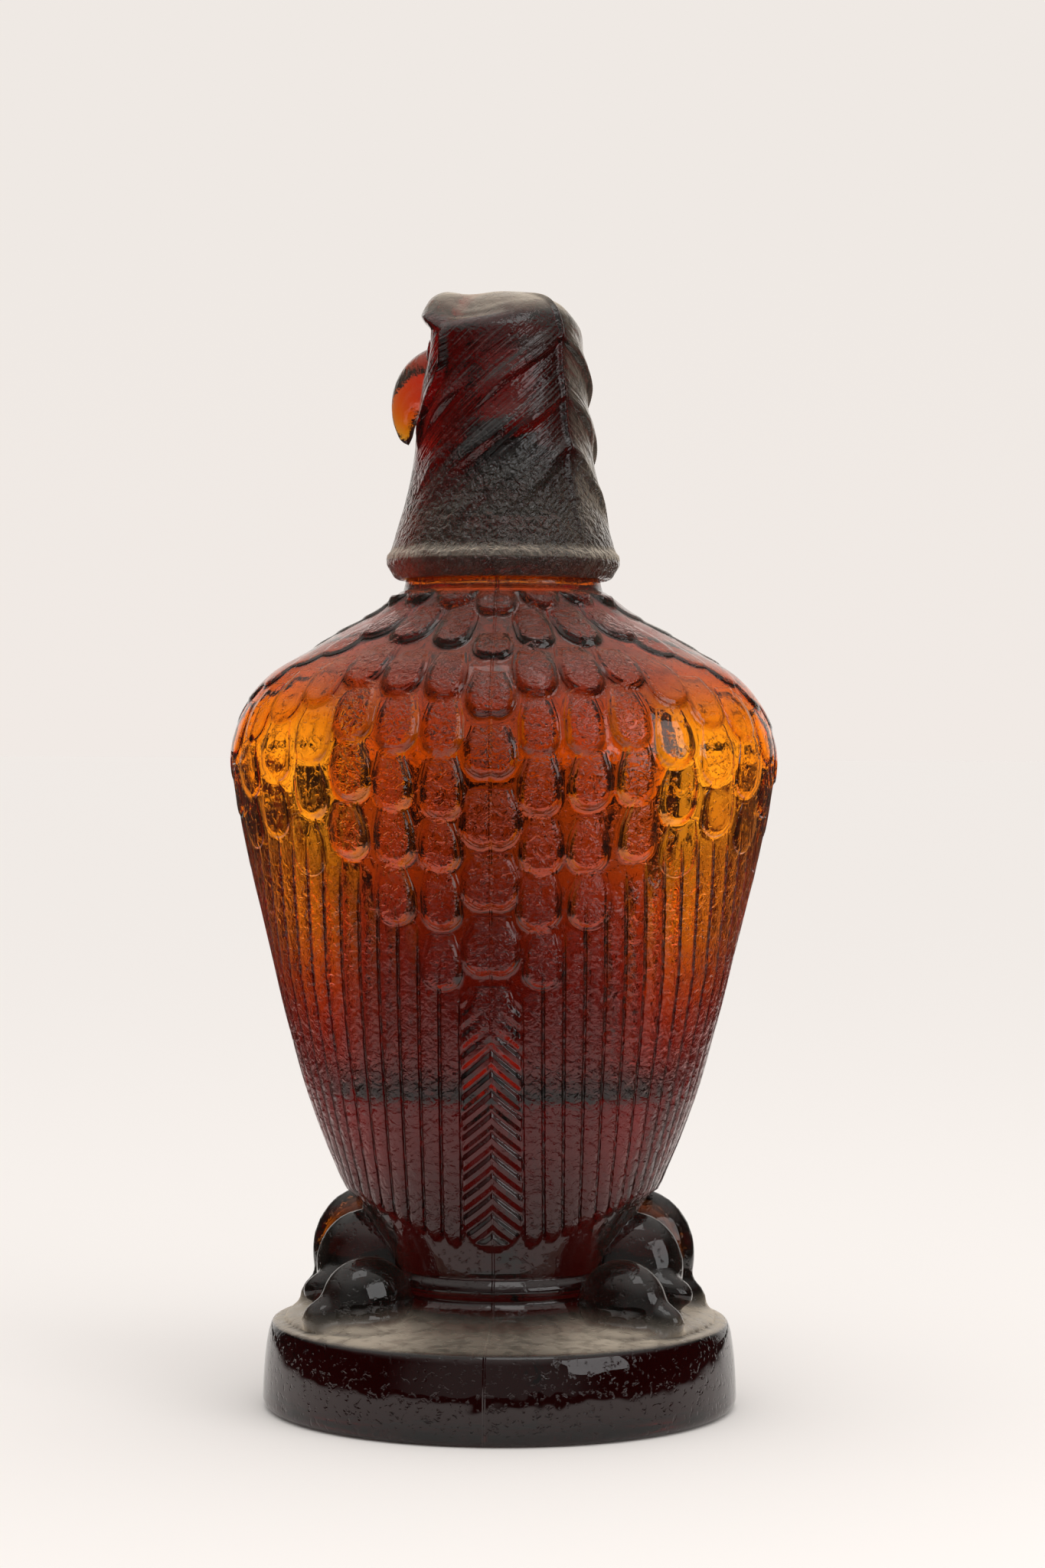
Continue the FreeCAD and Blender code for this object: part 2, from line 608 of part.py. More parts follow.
def head(doc, sheet):
    """The eagle's head, a thick glass cup with a wide skirt inside its rim."""
    ridge_size = ("sizes.ridge_length", "sizes.ridge_width", "sizes.ridge_height")
    ridge_at = ("sizes.ridge_reach - sizes.ridge_length / 2", "0", "{top_h} - sizes.ridge_drop")
    ridge = egg(doc, "brow_ridge", ridge_size, ridge_at)
    skin = skull(doc)
    outside = fuse(doc, "head_outside", [skin, ridge, beak(doc)] + neck_folds(doc, sheet, skin))
    hollow = turned_body(doc, sheet, "head_hollow", [
        ("0", f"-{OVERLAP}"),
        (f"{{skirt_r}} + {{collar_slope}} * {OVERLAP}", f"-{OVERLAP}"),
        ("{skirt_top_r}", "sizes.skirt_depth"),
        ("{cup_r}", "sizes.skirt_depth"),
        ("{cup_r}", "{mouth_z} - ({rim_z}) + sizes.cup_clearance"),
        ("sizes.cup_top_dia / 2", "sizes.cup_depth"),
        ("0", "sizes.cup_depth"),
    ])
    made = cut(doc, "eagle_head", outside, hollow)
    made.Label = "eagle_head"
    made.Placement = Placement(Vector(), Rotation(Z_AXIS, 1))
    bind(made, Placement__Base__z="{rim_z}")
    return bind(made, Placement__Rotation__Angle="90 + sizes.head_facing")


def seat_ring(doc, sheet):
    """The flat ring on the collar that the glass head stands on."""
    inner = "sizes.neck_dia / 2 + sizes.ring_clearance"
    outer = "sizes.collar_top_dia / 2 - sizes.ring_clearance"
    body = turned_body(doc, sheet, "seat_ring", [
        (inner, "{collar_z}"),
        (outer, "{collar_z}"),
        (outer, "{seat_z}"),
        (inner, "{seat_z}"),
    ])
    body.Label = "seat_ring"
    return body


def cork_stopper(doc, sheet):
    """The tapered cork, wedged in the neck by its own taper."""
    bottom = "{mouth_z} - sizes.cork_insertion"
    top = "{mouth_z} + sizes.cork_grip"
    bottom_r = "sizes.cork_bottom_dia / 2"
    taper = f"(({{cork_r}} - {bottom_r}) / sizes.cork_insertion)"
    top_r = f"({{cork_r}} + {taper} * sizes.cork_grip)"
    body = turned_body(doc, sheet, "cork_stopper", [
        ("0", bottom),
        (f"{bottom_r} - sizes.cork_round", bottom),
        (f"{bottom_r} + {taper} * sizes.cork_round", f"{bottom} + sizes.cork_round"),
        (f"{top_r} - {taper} * sizes.cork_round", f"{top} - sizes.cork_round"),
        (f"{top_r} - sizes.cork_round", top),
        ("0", top),
    ])
    body.Label = "cork_stopper"
    return body


def check(doc, parts):
    """Stops if any object failed, or a sub-part isn't one sound solid."""
    for thing in doc.Objects:
        if {"Invalid", "Error"} & set(thing.State):
            raise RuntimeError(f"{thing.Name} failed: {thing.State}")
    for part in parts:
        shape = part.Shape
        if shape.isNull() or not shape.isValid() or len(shape.Solids) != 1:
            raise RuntimeError(f"{part.Label} is not one sound solid")
        print(part.Label, "volume", round(shape.Volume / 1000, 2), "cm3")


def main():
    doc = FreeCAD.newDocument("eagle_decanter")
    sheet = make_sheet(doc)
    parts = [bottle(doc, sheet), head(doc, sheet), seat_ring(doc, sheet), cork_stopper(doc, sheet)]
    doc.recompute()
    check(doc, parts)
    os.makedirs("parts", exist_ok=True)
    for part in parts:
        part.Shape.exportStep(f"parts/{part.Label}.step")


main()
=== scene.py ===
"""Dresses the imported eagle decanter: two mouldings of amber glass, a cork and a soft ring."""
import math

import bpy
import numpy as np
from mathutils import Matrix, Vector


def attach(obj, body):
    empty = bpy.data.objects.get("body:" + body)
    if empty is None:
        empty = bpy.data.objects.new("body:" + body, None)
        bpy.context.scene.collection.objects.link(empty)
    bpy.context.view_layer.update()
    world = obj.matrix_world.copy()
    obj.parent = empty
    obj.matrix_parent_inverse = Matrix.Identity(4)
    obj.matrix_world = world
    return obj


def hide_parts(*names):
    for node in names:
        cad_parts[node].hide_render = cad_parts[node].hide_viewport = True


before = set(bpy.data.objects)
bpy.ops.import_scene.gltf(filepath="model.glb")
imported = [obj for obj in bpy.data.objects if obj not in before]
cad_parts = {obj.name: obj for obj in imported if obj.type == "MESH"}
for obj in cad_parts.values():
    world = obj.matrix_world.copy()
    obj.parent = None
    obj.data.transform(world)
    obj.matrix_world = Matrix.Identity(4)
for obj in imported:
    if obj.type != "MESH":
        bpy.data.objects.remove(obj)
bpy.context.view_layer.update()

# Shapes are worked out in millimetres and turned to metres where a mesh takes them
MM = 0.001
# Columns of a grid stand closer at the back by this share, and wider at the front
BACK_CROWDING = 0.25
# Fine steps in which curves and ovals are measured before they are divided
CURVE_STEPS = 4000
OVAL_STEPS = 1440
# Where the beak points, counted from the right as seen from above, and the height of the head's rim
BEAK_HEADING = math.radians(138)
RIM_Z = 226.0

# How the photograph was taken: distance from the axis, height, turn about the axis, tilt and roll
CAMERA_AWAY = 1000.0
CAMERA_HEIGHT = 183.0
CAMERA_AZIMUTH = math.radians(3.3)
CAMERA_TILT = math.radians(0.73)
CAMERA_ROLL = math.radians(0.25)
AXIS_PIXEL = 656
FOCAL_PIXELS = 4764
FRAME_WIDTH = 1365
FRAME_HEIGHT = 2048
SENSOR_WIDTH = 36.0
# The stage in metres: side of the floor, and the point that the lamps are turned to
FLOOR_SIZE = 60
LAMP_AIM = (0, 0, 0.15)

# Colour of the glass, and how strongly it takes up all other light in bottle and head
GLASS_COLOUR = "#fcdf00"
BOTTLE_DENSITY = 570.0
HEAD_DENSITY = 1045.0
# Grains in the glass: millimetres across a lump, detail and distortion
GLASS_GRAINS = {"waves": (8.0, 1.0, 0.0), "pits": (1.6, 3.0, 0.0), "patches": (5.0, 4.0, 0.5)}
BOTTLE_GRAINS = {
    "crinkles": (2.6, 2.0, 1.2), "face_pits": (1.5, 1.0, 0.0), "hammering": (2.2, 3.0, 0.8),
    "streaks": (2.2, 2.0, 0.0),
}
# The head's grain in millimetres, the factor that draws it out along the locks, and their slope
HEAD_GRAIN = 1.9
LOCK_STRETCH = 0.22
LOCK_SLOPE = 0.8


def eased(low, high, value):
    """Goes smoothly from 0 at low to 1 at high."""
    t = np.clip((value - low) / (high - low), 0, 1)
    return t * t * (3 - 2 * t)


def fair_line(stations, count, density=None):
    """A fair curve through the stations, in equal steps along its first two values. A density by
    height makes the steps shorter where it is higher."""
    knots = np.array(stations, float)
    steps = np.linalg.norm(np.diff(knots[:, :2], axis=0), axis=1)
    run = np.concatenate(([0], np.cumsum(steps)))
    slope = np.gradient(knots, run, axis=0)
    fine = np.linspace(0, run[-1], CURVE_STEPS)
    left = np.clip(np.searchsorted(run, fine, side="right") - 1, 0, len(run) - 2)
    gap = (run[left + 1] - run[left])[:, None]
    t = (fine[:, None] - run[left][:, None]) / gap
    curve = knots[left] * (2 * t**3 - 3 * t**2 + 1) + knots[left + 1] * (3 * t**2 - 2 * t**3)
    curve += gap * (slope[left] * (t**3 - 2 * t**2 + t) + slope[left + 1] * (t**3 - t**2))
    steps = np.linalg.norm(np.diff(curve[:, :2], axis=0), axis=1)
    if density:
        steps = steps * np.interp(curve[1:, 0], *density)
    along = np.concatenate(([0], np.cumsum(steps)))
    pick = np.linspace(0, along[-1], count)
    return np.stack([np.interp(pick, along, curve[:, c]) for c in range(curve.shape[1])], axis=1)


def column_shares(columns):
    """Places of the columns along an oval, 0 at the middle of the back, where they stand closest."""
    even = np.linspace(-0.5, 0.5, columns + 1)
    return even * (1 - BACK_CROWDING + 4 * BACK_CROWDING * even**2)


def rings(line, columns):
    """Ovals from rows of height, half width, half depth and forward push, divided by the columns'
    shares of their lengths, with the middle column at the middle of the back."""
    turn = np.linspace(-math.pi, math.pi, OVAL_STEPS + 1)
    share = column_shares(columns) + 0.5
    points = np.empty((len(line), columns + 1, 3))
    girth = np.empty(len(line))
    for row, (height, half_width, half_depth, forward) in enumerate(line):
        steps = np.hypot(half_width * np.diff(np.sin(turn)), half_depth * np.diff(np.cos(turn)))
        along = np.concatenate(([0], np.cumsum(steps)))
        girth[row] = along[-1]
        angle = np.interp(share * along[-1], along, turn) if girth[row] else share * math.tau
        points[row, :, 0] = half_width * np.sin(angle)
        points[row, :, 1] = forward - half_depth * np.cos(angle)
        points[row, :, 2] = height
    points[:, -1] = points[:, 0]
    return points, girth


def outward(points):
    """Unit normals of a wrapped grid whose rows climb and whose columns go round to the right."""
    across = np.roll(points[:, :-1], -1, axis=1) - np.roll(points[:, :-1], 1, axis=1)
    along = np.gradient(points[:, :-1], axis=0)
    normal = np.cross(across, along)
    normal /= np.linalg.norm(normal, axis=2, keepdims=True) + 1e-12
    return np.concatenate((normal, normal[:, :1]), axis=1)


def take_object():
    """The object that the last operator made."""
    return bpy.context.view_layer.objects.active


def wrapped(name, points, marks=None):
    """A flat grid bent into the rings, one row each, with its seam and poles closed."""
    bpy.ops.object.select_all(action="DESELECT")
    rows, columns = points.shape[0] - 1, points.shape[1] - 1
    bpy.ops.mesh.primitive_grid_add(x_subdivisions=columns, y_subdivisions=rows, size=2)
    piece = take_object()
    piece.name = name
    piece.data.name = name
    piece.data.vertices.foreach_set("co", (points * MM).astype(np.float32).ravel())
    for mark, values in (marks or {}).items():
        put_mark(piece, mark, values)
    bpy.ops.object.mode_set(mode="EDIT")
    bpy.ops.mesh.select_all(action="SELECT")
    bpy.ops.mesh.remove_doubles(threshold=1e-7)
    bpy.ops.mesh.normals_make_consistent(inside=False)
    bpy.ops.object.mode_set(mode="OBJECT")
    return piece


def apply_modifier(piece, kind, **settings):
    """Puts a modifier on the piece and applies it."""
    bpy.ops.object.select_all(action="DESELECT")
    piece.select_set(True)
    bpy.context.view_layer.objects.active = piece
    added = piece.modifiers.new(kind.lower(), kind)
    for setting, value in settings.items():
        setattr(added, setting, value)
    bpy.ops.object.modifier_apply(modifier=added.name)


def grow_onto(piece, other):
    """Melts another closed piece into this one."""
    apply_modifier(piece, "BOOLEAN", operation="UNION", solver="MANIFOLD", object=other)
    bpy.data.objects.remove(other)


def smooth_all(piece):
    """Shades the whole piece smooth."""
    bpy.ops.object.select_all(action="DESELECT")
    piece.select_set(True)
    bpy.context.view_layer.objects.active = piece
    bpy.ops.object.shade_smooth()


def lobes(name, eggs, grain):
    """Drops of molten glass: eggs of a middle, lengths, turn about Z and lean, melted together."""
    bpy.ops.object.select_all(action="DESELECT")
    drops = []
    for middle, lengths, turn, lean in eggs:
        bpy.ops.mesh.primitive_ico_sphere_add(subdivisions=4, radius=0.5)
        drop = take_object()
        drop.scale = Vector(lengths) * MM
        drop.rotation_euler = (0, math.radians(lean), math.radians(turn))
        drop.location = Vector(middle) * MM
        drops.append(drop)
    for drop in drops:
        drop.select_set(True)
    bpy.ops.object.join()
    piece = take_object()
    piece.name = name
    bpy.ops.object.transform_apply(location=True, rotation=True, scale=True)
    apply_modifier(piece, "REMESH", mode="VOXEL", voxel_size=grain * MM, adaptivity=0)
    apply_modifier(piece, "SMOOTH", factor=0.5, iterations=9)
    return piece


def places(piece):
    """Where the corners of a piece's mesh are, in millimetres."""
    flat = np.empty(3 * len(piece.data.vertices), np.float32)
    piece.data.vertices.foreach_get("co", flat)
    return flat.reshape(-1, 3) / MM


def put_mark(piece, name, values):
    """Lays a value on every corner of a mesh."""
    layer = piece.data.attributes.new(name, "FLOAT", "POINT")
    layer.data.foreach_set("value", values.astype(np.float32).ravel())


# The bird's body: height, half width, half depth and forward push of the glass under its feathers
BODY_STATIONS = [
    (39.0, 29.0, 28.5, 0.0),
    (44.0, 31.4, 29.2, 0.0),
    (50.0, 35.4, 30.3, 0.2),
    (60.0, 41.9, 33.2, 0.8),
    (68.5, 46.0, 35.6, 1.25),
    (85.0, 52.2, 40.0, 2.1),
    (102.0, 57.8, 44.0, 3.0),
    (127.0, 64.0, 48.5, 4.2),
    (145.0, 68.5, 51.5, 5.0),
    (165.0, 73.1, 54.7, 5.0),
    (180.0, 74.8, 56.0, 5.0),
    (190.0, 71.6, 54.2, 4.2),
    (199.5, 64.3, 49.3, 3.0),
    (206.8, 52.9, 42.5, 2.0),
    (212.0, 44.0, 36.8, 1.25),
    (217.5, 34.2, 31.6, 0.5),
    (222.0, 29.0, 29.0, 0.0),
]

# Plinth, waist and their rings below the body: radius and height, from the middle of the underside
PLINTH_RINGS = [
    (0, 3), (24, 3), (48, 3), (53.2, 2.6), (54.8, 1.2), (55.6, 0.2), (57, 0), (61, 0), (62.8, 0.2),
    (64, 0.8), (64.7, 1.9), (64.9, 3.2), (64.8, 6), (64.6, 10), (64.3, 14), (63.8, 18), (63.3, 20.8),
    (62.8, 22.4), (62.2, 23.4), (60.8, 23.9), (57, 24.3), (51, 24.7), (45, 25.2), (40, 25.9),
    (36, 26.9), (33, 28.2), (30.6, 29.9), (29.2, 31.4), (28.7, 32.3), (29.3, 32.9), (30, 34),
    (30.1, 35.4), (29.5, 36.8), (28.3, 37.6), (28.2, 38.1),
]

# Ledge, collar, neck and mouth above the body, and down the bore into the throat
NECK_RINGS = [
    (28.2, 222.6), (27.3, 222.9), (26.9, 224.5), (25.2, 233), (23.6, 241), (23.2, 241.9), (22.2, 242.2),
    (18, 242.2), (15, 242.2), (14.5, 242.8), (14.5, 250), (14.5, 255), (14.9, 256), (15.8, 256.4),
    (16, 257.4), (16, 260.4), (15.4, 261.7), (14.2, 262), (11, 262), (10, 261.7), (9.75, 261), (9.75, 248),
    (9.75, 236.5), (10.6, 235.4), (16, 232.6), (20.9, 230.2), (21.5, 229), (21.5, 219),
    (22.6, 215),
]

# The hollow follows the outside: height, and the glass at the sides, at the back and at the breast,
# measured level, from the shoulders down to its floor
HOLLOW_WALLS = [
    (212.5, 15.0, 12.0, 12.0),
    (206.8, 14.0, 11.0, 12.0),
    (199.5, 7.5, 9.0, 11.0),
    (190.0, 4.2, 8.0, 10.0),
    (180.0, 3.5, 7.0, 9.0),
    (150.0, 3.7, 7.5, 10.0),
    (130.0, 4.2, 9.0, 12.0),
    (115.0, 6.4, 11.5, 14.5),
    (105.0, 8.5, 13.5, 16.0),
    (97.0, 10.0, 14.2, 16.6),
    (90.0, 11.2, 14.8, 17.2),
    (88.0, 12.4, 15.8, 18.4),
    (87.0, 14.4, 17.6, 20.4),
]
# Where the hollow closes below its walls: share of the last ring, and height
HOLLOW_FLOOR = [(0.93, 86.3), (0.6, 86.1), (0.0, 86.0)]

# Painted shade, laid into the glass's colour: how much of the light behind it gets through, by height,
# in the middle of the back, a third of the way to the side, and from the wings forward
CLEARNESS_WITH_PAINTED_SHADE = [
    (39, 0.15, 0.15, 0.15),
    (50, 0.17, 0.17, 0.19),
    (60, 0.22, 0.22, 0.28),
    (72, 0.26, 0.30, 0.45),
    (84, 0.32, 0.33, 0.52),
    (93, 0.34, 0.34, 0.55),
    (100, 0.28, 0.34, 0.66),
    (112, 0.23, 0.35, 0.82),
    (133, 0.22, 0.40, 1.00),
    (150, 0.33, 0.56, 1.00),
    (180, 0.44, 0.72, 1.00),
    (195, 0.42, 0.60, 0.80),
    (205, 0.40, 0.46, 0.52),
    (222, 0.36, 0.38, 0.40),
]

# Painted shade on the plinth, and on the ledge above the body with its first rows: their clearness
PLINTH_PAINTED_SHADE_CLEAR = 0.18
LEDGE_PAINTED_SHADE_CLEAR = 0.65
LEDGE_ROWS = 4

COLUMNS = 340
BODY_ROWS = 178
HOLLOW_ROWS = 24
# Rows stand closer where scales are laid and at the ends of the long feathers
ROW_DENSITY = ([38, 52, 58, 106, 116, 222], [1.0, 1.0, 0.4, 0.4, 1.0, 1.0])

# Scale feathers: spacing of their columns round the body and of their rows down it, the first row's
# distance from the nape, how many columns and rows at most, half width and length
SCALE_STEP = 12.7
SCALE_ROW = 15.5
SCALE_START = 5.5
SCALE_COLUMNS = 14
SCALE_ROWS = 11
SCALE_HALF = 5.8
SCALE_LENGTH = 17.0
# How much scales vary: place down and across, and factors of width and length
SCALE_DROP = 0.8
SCALE_SHIFT = 0.6
SCALE_WIDTHS = (0.92, 1.06)
SCALE_LENGTHS = (0.9, 1.1)
# Where the back turns into the wing, along the surface from the back's middle line
BACK_TO_WING = (26, 54)
# On the back and on the wings: how far a scale's tip stands out, and how wide its rounded end is
SCALE_RISE = (2.1, 0.7)
SCALE_BEVEL = (2.7, 1.6)
# The double feathers on the back's middle line: height of the tip, half width and length
CENTRE_SCALES = [
    (214.7, 6.0, 10), (202.9, 5.6, 11), (187.6, 6.7, 14), (172.0, 7.3, 15),
    (153.6, 8.2, 17), (137.2, 8.2, 16), (119.8, 8.0, 16.5), (101.4, 7.2, 17),
]
# Depth and width of the notch and the groove in a double feather, and of the tail feather's quill line
NOTCH = (1.6, 1.7)
GROOVE = (0.45, 0.8)
QUILL_LINE = (0.5, 0.8)
# Lowest tip allowed in each column, from the middle of the back outwards
LOWEST_TIP = [97, 113, 130, 138, 143, 146]
# The broad tail feather: half width, rise, length of its round end and step of its barbs
TAIL_HALF = 8.0
TAIL_RISE = 1.7
TAIL_BOW = 7.0
BARB_STEP = 5.6
# The long feathers beside it: width, rise, length of the round end and number from tail to side
FLUTE_STEP = 5.6
FLUTE_RISE = 1.5
FLUTE_BOW = 4.0
FLUTES_TO_SIDE = 14
# Height at which they end in the middle of the back; the hem is lifted by so much at a share of the
# girth, more beyond it, and never by more than the last value
FLUTE_END_Z = 46.5
HEM_LIFT = 5.0
HEM_SHARE = 0.108
HEM_MOST = 14.0
# The breast: how far it stands back, steps of its scales down and across, their first and lowest place,
# and half width, length, rise and bevel of a scale
BREAST_SINK = 2.8
BREAST_ROW = 11.0
BREAST_STEP = 10.2
BREAST_START = 6
BREAST_LOWEST = 58
BREAST_SCALE = (4.6, 11.5, 1.2, 1.7)
# Heights, and how far the wings' front edges stand from the breast's middle there, along the surface
FRONT_EDGE = ([45, 70, 110, 150, 185, 205, 222], [14, 24, 38, 45, 44, 36, 26])
# Distance inside an outline that stands for glass without feathers
NO_FEATHER = -3.0


def rounded_end(inside, bevel):
    """The rounded end of a feather: steep at its outline, then more and more level."""
    t = np.clip(inside / bevel, 0, 1)
    return 1 - (1 - t) ** 1.8


class Plumage:
    """Feather relief on the body's grid: how far each point is raised, how far it lies inside the
    nearest feather's outline, both in millimetres, and how strongly painted shade is drawn along that
    outline there."""

    def __init__(self, line, points, girth):
        self.height = line[:, 0]
        self.girth = girth
        self.columns = points.shape[1] - 1
        self.share = column_shares(self.columns)[:-1]
        steps = np.linalg.norm(np.diff(points[:, :-1], axis=0), axis=2)
        climbed = np.concatenate((np.zeros((1, self.columns)), np.cumsum(steps, axis=0)))
        self.fall = climbed[-1] - climbed
        self.step = steps.mean()
        self.arc = self.share[None, :] * girth[:, None]
        self.relief = np.zeros(self.arc.shape)
        self.edge = np.full(self.arc.shape, NO_FEATHER)
        self.outline = np.zeros(self.arc.shape)

    def fall_at(self, height):
        """Each column's length from the nape down to a height."""
        row = np.interp(height, self.height, np.arange(len(self.height)))
        low = min(int(row), len(self.height) - 2)
        return self.fall[low] * (1 - (row - low)) + self.fall[low + 1] * (row - low)

    def find(self, arc, fall):
        """Height at which the line this far from the back's middle has come this far down."""
        column = np.interp(arc / self.girth, self.share, np.arange(self.columns))
        fallen = self.fall[np.arange(len(self.height)), column.astype(int)]
        return float(np.interp(-fall, -fallen, self.height))

    def feather(self, share, tip_z, half, length, rise, bevel, double=False):
        """Raises one tongue with a round, bevelled tip; its upper end sinks into the glass."""
        row = int(np.interp(tip_z, self.height, np.arange(len(self.height))))
        rows = np.arange(max(0, row - 5), min(len(self.height), row + int(length / self.step * 1.9) + 6))
        off = np.abs((self.share - share + 0.5) % 1 - 0.5)
        columns = np.nonzero(off * self.girth[rows].min() < half + 3)[0]
        spot = np.ix_(rows, columns)
        across = ((self.share[columns] - share + 0.5) % 1 - 0.5)[None, :] * self.girth[rows][:, None]
        up = self.fall_at(tip_z)[columns][None, :] - self.fall[spot]
        width = half * (1 - 0.3 * eased(0.5 * length, length, up))
        end = np.clip(1 - up / ((0.75 if double else 0.95) * half), 0, None)
        inside = width * (1 - np.hypot(across / width, end))
        groove = 0
        # A double feather has a notch in its tip and a groove down its middle
        if double:
            inside = inside - NOTCH[0] * end * np.exp(-(across / NOTCH[1]) ** 2)
            groove = GROOVE[0] * np.exp(-(across / GROOVE[1]) ** 2)
        crest = np.clip(1 - up / length, 0, 1) * (up > -2)
        raised = rise * (0.2 + 0.8 * crest**1.3) * eased(0, 0.3, crest)
        raised = raised * rounded_end(inside, bevel)
        raised = raised - groove * eased(0, 0.4, raised)
        better = raised > self.relief[spot]
        self.relief[spot] = np.where(better, raised, self.relief[spot])
        near = (inside > self.edge[spot]) & (crest > 0.02)
        self.edge[spot] = np.where(near, inside, self.edge[spot])
        # Painted shade drawn along the feather's outline
        outline_shade = np.exp(-((inside - 0.5) / 0.6) ** 2) * eased(0.3, 0.62, crest)
        self.outline[spot] = np.where(near, outline_shade, self.outline[spot])


def lay_back_scales(skin):
    """Scale feathers from the nape down to the long feathers, on back and wings."""
    for tip_z, half, length in CENTRE_SCALES:
        skin.feather(0.0, tip_z, half, length, SCALE_RISE[0], SCALE_BEVEL[0], double=True)
    rng = np.random.default_rng(7)
    for side in (-1, 1):
        for column in range(1, SCALE_COLUMNS + 1):
            arc = side * SCALE_STEP * column
            late = 0.5 * SCALE_ROW if column > 3 and column % 2 == 0 else 0
            for row in range(SCALE_ROWS):
                fall = SCALE_START + late + SCALE_ROW * row + rng.uniform(-SCALE_DROP, SCALE_DROP)
                tip_z = skin.find(arc, fall)
                girth = np.interp(tip_z, skin.height, skin.girth)
                lowest = LOWEST_TIP[min(column, len(LOWEST_TIP) - 1)]
                if tip_z < lowest or abs(arc) > girth / 2 - front_edge(tip_z) - 3:
                    continue
                share = (arc + rng.uniform(-SCALE_SHIFT, SCALE_SHIFT)) / girth
                half = SCALE_HALF * rng.uniform(*SCALE_WIDTHS)
                bevel = np.interp(abs(arc), BACK_TO_WING, SCALE_BEVEL)
                rise = np.interp(abs(arc), BACK_TO_WING, SCALE_RISE)
                rise = rise * (1 - 0.35 * eased(0.22, 0.3, abs(share)))
                length = SCALE_LENGTH * rng.uniform(*SCALE_LENGTHS)
                skin.feather(share, tip_z, half, length, rise, bevel)


def painted_shade_clearness(skin):
    """Painted shade over the whole body as clearness of the glass, with more of it along the scales'
    outlines.
    """
    table = np.array(CLEARNESS_WITH_PAINTED_SHADE).T
    middle, third, wing = (np.interp(skin.height, table[0], row)[:, None] for row in table[1:])
    beside = 4 * np.abs(skin.share)[None, :]
    clear = middle + (third - middle) * eased(0, 0.36, beside) + (wing - third) * eased(0.3, 0.64, beside)
    # Painted shade: the back is a quarter dimmer than the wings
    clear = clear * (0.74 + 0.26 * eased(0.3, 0.6, beside))
    # Painted shade along the outlines, strongest on the shoulders
    outline_shade_strength = 0.5 + 0.35 * eased(188, 204, skin.height)[:, None]
    return clear * (1 - outline_shade_strength * skin.outline)


def front_edge(height):
    """How far the wings' front edges stand from the breast's middle, along the surface."""
    return np.interp(height, *FRONT_EDGE)


def lay_breast(skin):
    """The breast stands back behind the wings' front edges and carries smaller scales."""
    from_front = skin.girth[:, None] / 2 - np.abs(skin.arc)
    jag = 1.3 * np.abs((skin.fall / BREAST_ROW) % 1 - 0.5)
    edge = front_edge(skin.height)[:, None] + jag
    held = eased(44, 60, skin.height) * (1 - eased(200, 214, skin.height))
    skin.relief -= BREAST_SINK * held[:, None] * eased(-1.0, 1.0, edge - from_front)
    rng = np.random.default_rng(11)
    for row in range(17):
        fall = BREAST_START + BREAST_ROW * row
        shift = 0.5 * (row % 2)
        for column in range(-5, 6):
            arc = BREAST_STEP * (column + shift)
            tip_z = float(np.interp(-fall, -skin.fall[:, 0], skin.height))
            if tip_z < BREAST_LOWEST or abs(arc) > front_edge(tip_z) - 6:
                continue
            girth = np.interp(tip_z, skin.height, skin.girth)
            lay_on_breast(skin, 0.5 + arc / girth, tip_z, rng.uniform(0.95, 1.05))


def lay_on_breast(skin, share, tip_z, vary):
    """One breast feather, raised from the sunken glass."""
    half, length, rise, bevel = BREAST_SCALE
    before = skin.relief
    skin.relief = np.zeros_like(before)
    skin.feather((share + 0.5) % 1 - 0.5, tip_z, half * vary, length, rise, bevel)
    skin.relief = before + skin.relief


